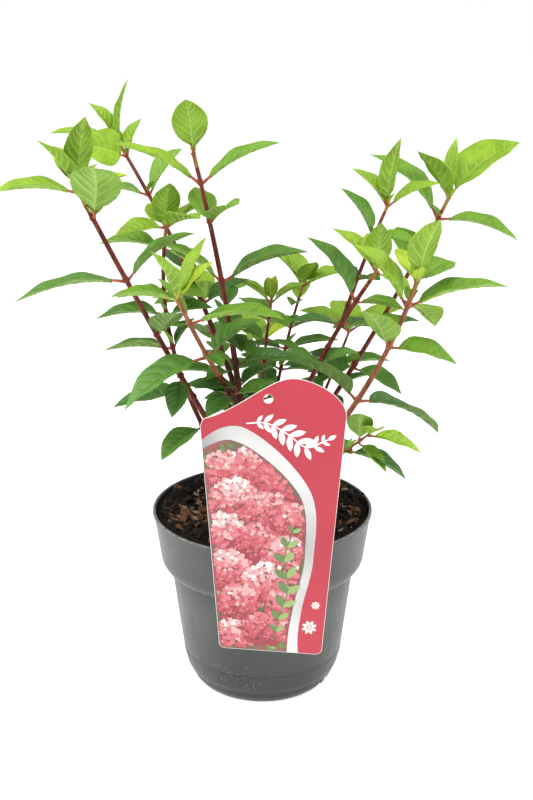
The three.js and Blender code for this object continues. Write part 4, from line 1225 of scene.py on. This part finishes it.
# Every leaf's blade on the same rows and columns, all of one tone in one mesh
def makeLeaves():
    rng = np.random.default_rng(12)
    leaves = np.concatenate([sourceLeaves(), clearOfLabel(newLeaves())])
    tone = leafTone(leaves, rng)
    faces, marks, size = bladeFaces()
    for index, (name, (upper, under, vein, underVein)) in enumerate(leafTones.items()):
        chosen = leaves[tone == index]
        finishes = [
            leafFinish(f"{name}LeafUpper", upper, 0.42, 0.5, index),
            leafFinish(f"{name}LeafUnder", under, 0.6, 0.35, index),
            veinFinish(f"{name}VeinUpper", vein, 0.45), veinFinish(f"{name}VeinUnder", underVein, 0.55)]
        makePiece(f"leaves_{name}", bladePoints(chosen, rng), [repeated(faces, len(chosen), size)], finishes,
                  "leaves", marks=np.tile(marks, len(chosen)), replaced=[f"leaves_{part}" for part in shoots],
                  sharp=50)
    return leaves


# Stalks: rings round the first part of each leaf's arc, radius = mix(radii, s) times the root of
# reach / fullReach
def makeStalks(leaves):
    p = stalkSet
    rows, sides, count = p["rows"], p["sides"], len(leaves)
    share = np.linspace(0, 1, rows)
    along = np.broadcast_to(share * (leafSet["petiole"] * p["length"]), (count, rows))
    centre, normal, side = leafArc(leaves, along)
    over, up = aimed(around(sides)).T[..., None]
    ring = over * side[:, :, None] + up * normal[:, :, None]
    size = mix(*p["radius"], share) * np.where(share > p["endFrom"], p["endShare"], 1.0)
    size = size[None] * np.sqrt(leafValue(leaves, "reach") / p["fullReach"])[:, None].clip(*p["sizeRange"])
    points = centre[:, :, None] - normal[:, :, None] * p["sunk"] + ring * size[:, :, None, None]
    finishes = []
    for name in ("Red", "Green"):
        plain, dark, light, roughness = p[f"tones{name}"]
        finish = newFinish(f"stalk{name}", plain, roughness)
        grained(finish, pattern(finish, 6, detail=4), [(0.36, dark), (0.66, light)])
        grained(finish, pattern(finish, 1.2), bump=(0.3, 0.2))
        finishes.append(finish)
    wall, *ends = tubeFaces(rows, sides)
    faces = [repeated(part, count, rows * sides) for part in (wall, np.concatenate(ends))]
    isNew = (leafValue(leaves, "youth") > 1.0).astype(int)
    marks = np.concatenate([np.repeat(isNew, (rows - 1) * sides), np.repeat(isNew, 2)])
    makePiece("leafStalks", points, faces, finishes, "leaves", marks=marks, sharp=60)


makeStalks(makeLeaves())
print("leaves and stalks have grown")

labelSet = {
    "thick": 0.8, "bottom": 68, "slant": 6, "bottomLeft": -35.4, "bottomRight": 49.3, "corner": 6,
    "shoulder": 276, "topLeft": -47.9, "topRight": 65.8, "apex": 24, "top": 307.5,
    "crownRise": (9, 18), "crownReach": (34, 18, 14), "shoulderRound": (7, 10), "curveSteps": 20,
    "hole": (5, 291), "holeRadius": 3.6, "holeSides": 28, "holeRoom": 1.06,
    "tongueWidth": 24, "tongueDrop": 7.5, "tongueSides": 32, "tongueSoft": 0.6, "finish": 0.4,
    "edge": 0.35, "ink": 0.05, "inkInside": 0.1, "pictureOver": 0.03, "bandOver": 0.06,
    "bandTop": ((-60, 246), (-18, 262), (33, 214), (38, 158), (29, 112), (25, 84), (25, 60)),
    "bandWide": (3, 13, 9, 7, 7, 8, 10), "bandSteps": 14,
}
floretSet = {
    "step": 2.9, "rowStep": 0.86, "shake": 0.7, "size": (3.2, 5.4), "rimSides": 8, "corners": 6, "petals": 4,
    "middle": 0.26, "long": 0.24, "wide": 0.26,
    "over": 0.12, "spread": 0.5, "petalStep": 0.012, "thick": 0.03,
    "tone": 2.3, "toneOfHeight": 1.9, "toneJitter": 0.6, "headTone": (0.35, 2.4), "headEdge": 0.25,
    "eyes": 0.22, "eyeSize": 0.07, "eyeOver": (0.08, 0.05),
    "heads": (  # middle, half width and half height of each flower head
        (-30, 232, 19, 17), (-4, 237, 19, 18), (17, 216, 17, 19), (-22, 206, 20, 19), (4, 196, 19, 18),
        (26, 184, 15, 20), (-30, 176, 17, 20), (-7, 168, 20, 18), (18, 156, 18, 19), (-26, 144, 18, 20),
        (33, 134, 13, 20), (2, 134, 19, 18), (-20, 114, 18, 18), (20, 112, 18, 18), (-24, 86, 17, 15),
        (2, 92, 19, 16), (30, 88, 18, 16)),
}
sprigSet = {  # arc is the stretch of a sine that sets the leaves' lengths; each lies "order" over the last
    "cream": {"stem": ((-12, 271), (4, 271), (20, 262), (35, 251), (51, 257)), "steps": 12, "ends": (6, 4),
              "leaves": 9, "long": 13.5, "arc": (0.45, 2.75), "power": 0.7, "half": 0.55},
    "green": {"stem": ((10, 82), (14, 104), (21, 128), (18, 156), (26, 182)), "steps": 14, "ends": (5, 3),
              "leaves": 8, "long": 13, "arc": (0.7, 2.5), "power": 1, "half": 0.5},
    "creamTurn": 0.85, "creamWide": 0.19, "tipLeaf": (8.0, 1.8), "greenTurn": 0.75, "greenWide": 0.24,
    "order": 0.004, "over": 0.05, "thick": 0.09, "stemOver": 0.045,
    "greenOver": 0.78, "greenLift": 0.01, "greenThick": 0.03, "lightOver": 0.06,
    "greens": 620, "greensLong": (7, 14), "greensWide": 0.2, "greensOver": 0.05,
}
daisySet = {  # each daisy is its middle and its reach; a petal is its start, length and half width
    "daisies": ((43.5, 113, 3.8), (38.5, 93, 6.4)), "petals": 8, "petal": (0.24, 0.76, 0.2), "turn": 0.3,
    "disc": 0.2, "discOver": 0.02,
}
backSet = {
    "border": (1.6, 4.4), "thick": 0.05, "step": 6,
    "bar": ((-34, 120), (48, 120), (49, 132), (-35, 132)),
}
labelTones = {
    "card": (0.80, 0.79, 0.77), "rose": (0.40, 0.0145, 0.036), "roseLight": (0.455, 0.0195, 0.043),
    "silver": (0.32, 0.32, 0.32), "silverPale": (0.62, 0.62, 0.61), "meadow": (0.085, 0.115, 0.045),
    "dusk": (0.30, 0.060, 0.075), "white": (0.72, 0.66, 0.63), "blush": (0.64, 0.35, 0.35),
    "pink": (0.57, 0.150, 0.175), "deepPink": (0.48, 0.072, 0.100), "wine": (0.31, 0.032, 0.050),
    "leaf": (0.105, 0.20, 0.05), "leafLight": (0.27, 0.38, 0.11), "cream": (0.85, 0.82, 0.76),
    "eye": (0.75, 0.68, 0.42),
}


# A Bezier curve through Bernstein weights: sum of C(n, k) s^k (1 - s)^(n - k) point k
def bezier(controls, steps, last=True):
    controls = np.array(controls, float)
    order = len(controls) - 1
    s = np.linspace(0, 1, steps, endpoint=last)[:, None]
    weights = [math.comb(order, k) * s ** k * (1 - s) ** (order - k) for k in range(order + 1)]
    return sum(weight * point for weight, point in zip(weights, controls))


# The card's outline as (x, z) points, anticlockwise, drawn in by "inset"
def cardOutline(inset=0.0):
    p = labelSet
    leftRise, rightRise = p["crownRise"]
    leftReach, apexLeft, apexRight = p["crownReach"]
    roundWide, roundHigh = p["shoulderRound"]
    left, right, foot, corner = p["bottomLeft"], p["bottomRight"], p["bottom"], p["corner"]
    shoulder, topLeft, topRight, apex, top = p["shoulder"], p["topLeft"], p["topRight"], p["apex"], p["top"]
    leftFoot, steps = foot + p["slant"], p["curveSteps"]
    points = np.concatenate([
        np.array([(left + corner, leftFoot)], float),
        bezier([(right - corner, foot), (right, foot), (right, foot + corner)], steps),
        bezier([(topRight, shoulder), (topRight, shoulder + rightRise), (apex + apexRight, top), (apex, top)],
               steps, False),
        bezier([(apex, top), (apex - apexLeft, top), (topLeft + leftReach, shoulder + leftRise),
                (topLeft + roundWide, shoulder)], steps, False),
        bezier([(topLeft + roundWide, shoulder), (topLeft, shoulder),
                (topLeft, shoulder - roundHigh)], steps),
        bezier([(left, leftFoot + corner), (left, leftFoot), (left + corner, leftFoot)], steps, False),
    ])
    return points + leftOf(unit(np.roll(points, -1, 0) - np.roll(points, 1, 0))) * inset


# Area within a ring, above 0 if it runs anticlockwise: half the sum of x z' - x' z
def signedArea(ring):
    x, z = ring[:, 0], ring[:, 1]
    return 0.5 * float((x * np.roll(z, -1) - np.roll(x, -1) * z).sum())


# A flat outline with holes given thickness from depth near to far; place(a, b, depth) puts it into space
def plate(outline, near, far, place, holes=()):
    rings = [outline if signedArea(outline) > 0 else outline[::-1]]
    rings += [hole if signedArea(hole) < 0 else hole[::-1] for hole in holes]
    flat = np.concatenate(rings)
    triangles = np.array(tessellate_polygon([[Vector((a, b, 0)) for a, b in ring] for ring in rings]))
    first, second, third = (flat[triangles[:, k]] for k in range(3))
    turn = np.cross(second - first, third - first)
    triangles = triangles[np.abs(turn) > 1e-9]
    turn = turn[np.abs(turn) > 1e-9]
    triangles[turn < 0] = triangles[turn < 0][:, ::-1]
    count, walls, start = len(flat), [], 0
    for ring in rings:
        line, after = (start + corner for corner in ringCorners(len(ring)))
        walls.append(np.stack([line, line + count, after + count, after], 1))
        start += len(ring)
    points = np.concatenate([place(flat[:, 0], flat[:, 1], near), place(flat[:, 0], flat[:, 1], far)])
    return points, [np.concatenate([triangles, triangles[:, ::-1] + count]), np.concatenate(walls)]


# Points of the card: x = a, y = depth, z = b
def onCard(a, b, depth):
    return np.stack([a, depth + 0 * a, b], -1)


# Many alike small tiles (n, k, 2), each with its own depth, as closed prisms on the card
def tiles(outlines, near, far):
    a, b = outlines[..., 0], outlines[..., 1]
    points = np.stack([onCard(a, b, near[:, None]), onCard(a, b, far[:, None])], 1).reshape(-1, 3)
    return points, prismFaces(*outlines.shape[:2], flip=True)


# Whether points lie inside an outline: an odd number of its sides is crossed on the way out
def isInside(points, outline):
    x, z = points[:, 0][:, None], points[:, 1][:, None]
    start, end = outline, np.roll(outline, -1, 0)
    cross = (start[:, 1] > z) != (end[:, 1] > z)
    slope = (end[:, 0] - start[:, 0]) / np.where(end[:, 1] == start[:, 1], 1e-9, end[:, 1] - start[:, 1])
    return (cross & (x < start[:, 0] + slope * (z - start[:, 1]))).sum(1) % 2 == 1


# A smooth line through points by Catmull-Rom weights: half of 2 b + (c - a) s + (2 a - 5 b + 4 c - d) s^2
# + (3 b - a - 3 c + d) s^3
def smoothLine(points, steps):
    points = np.array(points, float)
    padded = np.concatenate([2 * points[:1] - points[1:2], points, 2 * points[-1:] - points[-2:-1]])
    s = np.linspace(0, 1, steps, endpoint=False)[:, None]
    rows = []
    for a, b, c, d in zip(padded, padded[1:], padded[2:], padded[3:]):
        square, cube = (2 * a - 5 * b + 4 * c - d) * s ** 2, (3 * b - a - 3 * c + d) * s ** 3
        rows.append(0.5 * (2 * b + (c - a) * s + square + cube))
    return np.concatenate([*rows, points[-1:]])


# The lines half a width to the left and right of a line
def bothSides(line, half):
    out = leftOf(unit(np.gradient(line, axis=0))) * half
    return line + out, line - out


# Keeps an outline within the card: each point outside is drawn to the nearest point of the card's own outline
def keptInside(points, border):
    nearest = border[np.linalg.norm(points[:, None] - border[None], axis=-1).argmin(1)]
    return np.where(isInside(points, border)[:, None], points, nearest)


# The same outline with points about "step" mm apart
def denseOutline(outline, step):
    parts = []
    for start, end in zip(outline, np.roll(outline, -1, 0)):
        count = max(1, int(np.linalg.norm(end - start) / step))
        parts.append(mix(start, end, np.linspace(0, 1, count, endpoint=False)[:, None]))
    return np.concatenate(parts)


# Satin print under a thin clear coat, on a card that isn't quite flat
def printFinish(name, color, roughness=0.34):
    finish = newFinish(name, color, roughness, **{"Coat Weight": 0.12, "Coat Roughness": 0.3})
    grained(finish, pattern(finish, 22, detail=4), roughness=(roughness - 0.06, roughness + 0.1))
    grained(finish, pattern(finish, 55, detail=1), bump=(0.25, 1.5))
    return finish


# Ink that drifts softly from one tone to another, in clouds of "size" mm
def shadedInk(name, first, last, size):
    finish = printFinish(name, labelTones[first])
    grained(finish, pattern(finish, size, detail=1.5), [(0.36, labelTones[first]), (0.62, labelTones[last])])
    return finish


# Parts of one ink on the label
def printPiece(name, parts, finish, **more):
    makePiece(name, *joined(parts), [finish], "plant_label", **more)


# The card stands before the pot's rim, and its tongue bends over the rim and down behind it
def makeLabel():
    p = labelSet
    thick, half, over = p["thick"], p["tongueWidth"] / 2, potSet["height"] + gap
    back = -potSet["rimRadius"] - gap
    front = back - thick
    foot = over - p["tongueDrop"]
    inside = gap - math.sqrt((innerRadius(foot) * math.cos(math.pi / p["tongueSides"])) ** 2 - half ** 2)
    soft = thick * p["tongueSoft"]
    hook = np.array([
        (back - thick / 2, over), (inside, over), (inside, foot), (inside + thick, foot),
        (inside + thick, over + soft), (inside + soft, over + thick), (back - thick / 2, over + thick)])
    tongue = plate(hook, half, -half, lambda a, b, depth: np.stack([depth + 0 * a, a, b], -1))
    middle = np.array(p["hole"])
    hole = aimed(around(p["holeSides"])) * p["holeRadius"]
    printPiece("labelCard", [plate(cardOutline(), front, back, onCard, [middle + hole]), tongue],
               printFinish("cardWhite", labelTones["card"], p["finish"]), replaced=("plant_label",))
    border, ink, deep = cardOutline(p["edge"]), front - p["ink"], front + p["inkInside"]
    printPiece("labelField", [plate(border, ink, deep, onCard, [middle + hole * p["holeRoom"]])],
               shadedInk("roseInk", "rose", "roseLight", 95))
    dense = denseOutline(border, 1.0)
    line = smoothLine(p["bandTop"], p["bandSteps"])
    marks = np.linspace(0, 1, len(p["bandWide"]))
    wide = np.interp(np.linspace(0, 1, len(line)), marks, p["bandWide"])[:, None]
    upper, lower = (keptInside(side, dense) for side in bothSides(line, wide / 2))
    printPiece("labelBand", [plate(np.concatenate([lower, upper[::-1]]), ink - p["bandOver"], deep, onCard)],
               shadedInk("silverInk", "silver", "silverPale", 70))
    picture = pictureOutline(dense, lower)
    printPiece("labelPicture", [plate(picture, ink - p["pictureOver"], deep, onCard)],
               shadedInk("meadowInk", "meadow", "dusk", 26))
    rng = np.random.default_rng(44)
    makeFlorets(rng, picture, ink)
    makeCreamSprig(ink)
    makeGreenSprig(ink)
    makeDaisies(ink)
    makeGreens(rng, picture, ink)
    makeBack(back)


# The picture fills the card below the band: the band's lower line, then the card's own edge back to its start
def pictureOutline(dense, lower):
    first, last = (int(np.linalg.norm(dense - end, axis=1).argmin()) for end in (lower[0], lower[-1]))
    back = dense[(last - np.arange((last - first) % len(dense))) % len(dense)]
    ahead = dense[(last + np.arange((first - last) % len(dense))) % len(dense)]
    lowest = min((back, ahead), key=lambda part: part[:, 1].mean())
    return np.concatenate([lower, lowest[1:]])


# Which flower head each spot is in, and where in it: heads are ellipses, and a later one lies over the others
def headOf(spots):
    heads = np.array(floretSet["heads"], float)
    off = (spots[:, None] - heads[None, :, :2]) / heads[None, :, 2:]
    inside = (off ** 2).sum(-1) < 1
    last = len(heads) - 1 - inside[:, ::-1].argmax(1)
    return np.where(inside.any(1), last, -1), off[np.arange(len(spots)), last]


# Four-petalled florets in a shaken hexagonal net, pale at the top of each head: each petal is an ellipse of
# six corners set off from the middle
def makeFlorets(rng, picture, ink):
    p = floretSet
    low, high = picture.min(0), picture.max(0)
    step, rowStep = p["step"], p["step"] * p["rowStep"]
    columns, rows = np.meshgrid(np.arange(low[0], high[0], step), np.arange(low[1], high[1], rowStep))
    spots = np.stack([columns + (np.arange(len(rows)) % 2)[:, None] * step / 2, rows], -1).reshape(-1, 2)
    spots = spots + rng.normal(0, p["shake"], spots.shape)
    head, off = headOf(spots)
    size = mix(*p["size"], rng.beta(2, 2, len(spots)))
    rims = [spots + size[:, None] * 0.5 * aim for aim in aimed(around(p["rimSides"]))]
    keep = (head >= 0) & np.all([isInside(rim, picture) for rim in rims], axis=0)
    spots, size, head, off = spots[keep], size[keep], head[keep], off[keep]
    order = np.lexsort((rng.uniform(0, 1, len(spots)), head))
    spots, size, head, off = spots[order], size[order], head[order], off[order]
    turn = rng.uniform(0, math.pi / 2, len(spots))
    depth = ink - p["over"] - p["spread"] * np.arange(len(spots)) / len(spots)
    ring = aimed(around(p["corners"]))
    over = (p["middle"] + p["long"] * ring[:, 0])[None, :, None]
    beside = (p["wide"] * ring[:, 1])[None, :, None]
    petals = []
    for quarter in around(p["petals"]):  # the same quarter turn on for every floret
        ahead = aimed(turn + quarter)
        oval = ahead[:, None] * over + leftOf(ahead)[:, None] * beside
        petals.append(spots[:, None] + oval * size[:, None, None])
    (headTone, headPace), count = p["headTone"], len(petals)
    pale = off[:, 1] + headTone * np.sin(head * headPace) - p["headEdge"] * (off ** 2).sum(1)
    value = p["tone"] - p["toneOfHeight"] * pale + rng.normal(0, p["toneJitter"], len(spots))
    tone = np.clip(np.round(value), 0, 4).astype(int)
    for index, name in enumerate(("white", "blush", "pink", "deepPink", "wine")):
        chosen = tone == index
        near = np.concatenate([depth[chosen] - p["petalStep"] * k for k in range(count)])
        outlines = np.concatenate([petal[chosen] for petal in petals])
        printPiece(f"labelFlorets_{name}", [tiles(outlines, near, near + p["thick"])],
                   printFinish(f"{name}Ink", labelTones[name]))
    some = rng.uniform(0, 1, len(spots)) < p["eyes"]
    eyes = spots[some][:, None] + ring[None] * (size[some] * p["eyeSize"])[:, None, None]
    printPiece("labelFloretEyes", [tiles(eyes, depth[some] - p["eyeOver"][0], depth[some] - p["eyeOver"][1])],
               printFinish("eyeInk", labelTones["eye"]))


# Almond leaves of twelve corners: half width = wide sin(pi s)^0.8, up one side to the tip and back along the
# other
def almonds(foot, aim, length, wide):
    s = np.concatenate([np.linspace(0, 1, 7), np.linspace(1, 0, 7)[1:-1]])
    across = np.concatenate([np.ones(7), -np.ones(5)]) * np.sin(math.pi * s) ** 0.8
    ahead = aimed(aim)[:, None]
    along, beside = (length[:, None] * s)[..., None], (wide[:, None] * across)[..., None]
    return foot[:, None] + ahead * along - leftOf(ahead) * beside


# A sprig's leaves along its smooth stem: their places, aims and lengths, long sin(arc)^power, and the
# outline of the stem
def sprigLeaves(chosen):
    stem = smoothLine(chosen["stem"], chosen["steps"])
    start, end = chosen["ends"]
    pick = np.linspace(start, len(stem) - end, chosen["leaves"]).astype(int)
    along = unit(np.gradient(stem, axis=0))[pick]
    length = chosen["long"] * np.sin(np.linspace(*chosen["arc"], len(pick))) ** chosen["power"]
    left, right = bothSides(stem, chosen["half"])
    return stem[pick], np.arctan2(along[:, 1], along[:, 0]), length, np.concatenate([right, left[::-1]])


# Pairs of cream leaves and one at the tip, across the rose field
def makeCreamSprig(ink):
    p = sprigSet
    place, aim, length, ribbon = sprigLeaves(p["cream"])
    stemTip = np.array(p["cream"]["stem"][-1:], float)
    leaves = [almonds(place, aim + turn, length, length * p["creamWide"])
              for turn in (p["creamTurn"], -p["creamTurn"])]
    leaves = np.concatenate([*leaves, almonds(stemTip, aim[-1:], *np.array(p["tipLeaf"])[:, None])])
    depth = ink - p["over"] - p["order"] * np.arange(len(leaves))
    printPiece("labelSprig", [tiles(leaves, depth, depth + p["thick"]),
                              plate(ribbon, ink - p["stemOver"], ink + p["over"], onCard)],
               printFinish("creamInk", labelTones["cream"]))


# Green leaves along a stem over the florets: the darker ones to its left, in one piece with the stem, and the
# lighter ones to its right
def makeGreenSprig(ink):
    p = sprigSet
    place, aim, length, ribbon = sprigLeaves(p["green"])
    lie, thick = ink - p["greenOver"], p["greenThick"]
    stem = plate(ribbon, lie, lie + thick, onCard)
    sides = (("leaf", p["greenTurn"], [stem]), ("leafLight", -p["greenTurn"], []))
    for index, (name, turn, more) in enumerate(sides):
        leaves = almonds(place, aim + turn, length, length * p["greenWide"])
        depth = lie - p["greenLift"] - p["order"] * np.arange(len(leaves)) - p["lightOver"] * index
        printPiece(f"labelGreenSprig_{name}", [tiles(leaves, depth, depth + thick), *more],
                   printFinish(f"{name}SprigInk", labelTones[name]))


# Daisies: a ring of almond petals round a disc
def makeDaisies(ink):
    p, thick = daisySet, sprigSet["thick"]
    count = p["petals"]
    start, long, wide = p["petal"]
    depth = ink - sprigSet["over"] - sprigSet["order"] * np.arange(count)
    for index, (*middle, reach) in enumerate(p["daisies"]):
        aim = around(count) + p["turn"] * index
        out = aimed(aim) * reach
        length, width = np.full((2, count), [[reach * long], [reach * wide]])
        petals = almonds(middle + out * start, aim, length, width)
        disc = tiles((middle + out * p["disc"])[None], depth[-1:] - p["discOver"], depth[-1:] + thick)
        printPiece(f"labelDaisy_{index + 1}", [tiles(petals, depth, depth + thick), disc],
                   printFinish(f"daisyInk_{index + 1}", labelTones["cream"]))


# Loose green leaves in the picture, wherever no flower head stands at their foot
def makeGreens(rng, picture, ink):
    p = sprigSet
    spots = rng.uniform(picture.min(0), picture.max(0), (p["greens"], 2))
    length = rng.uniform(*p["greensLong"], len(spots))
    aim = rng.uniform(0, fullTurn, len(spots))
    green = almonds(spots, aim, length, length * p["greensWide"])
    keep = (headOf(spots)[0] < 0) & isInside(green.reshape(-1, 2), picture).reshape(len(spots), -1).all(1)
    for index, name in enumerate(("leaf", "leafLight")):
        chosen = green[keep & (np.arange(len(spots)) % 2 == index)]
        order = np.arange(len(chosen)) / len(chosen)
        near = ink - p["over"] - p["greensOver"] * order - p["lightOver"] * index
        printPiece(f"labelGreens_{name}", [tiles(chosen, near, near + p["greenThick"])],
                   printFinish(f"{name}Ink", labelTones[name]))


# The card's back: a rose border and a silver bar round a bare white panel
def makeBack(back):
    outer, inner = (cardOutline(inset) for inset in backSet["border"])
    bar = denseOutline(np.array(backSet["bar"], float), backSet["step"])
    printPiece("labelBackBorder", [plate(outer, back, back + backSet["thick"], onCard, [inner])],
               printFinish("roseBackInk", labelTones["rose"]))
    printPiece("labelBackBar", [plate(bar, back, back + backSet["thick"], onCard)],
               printFinish("silverBackInk", labelTones["silver"]))


makeLabel()
print("label is printed")
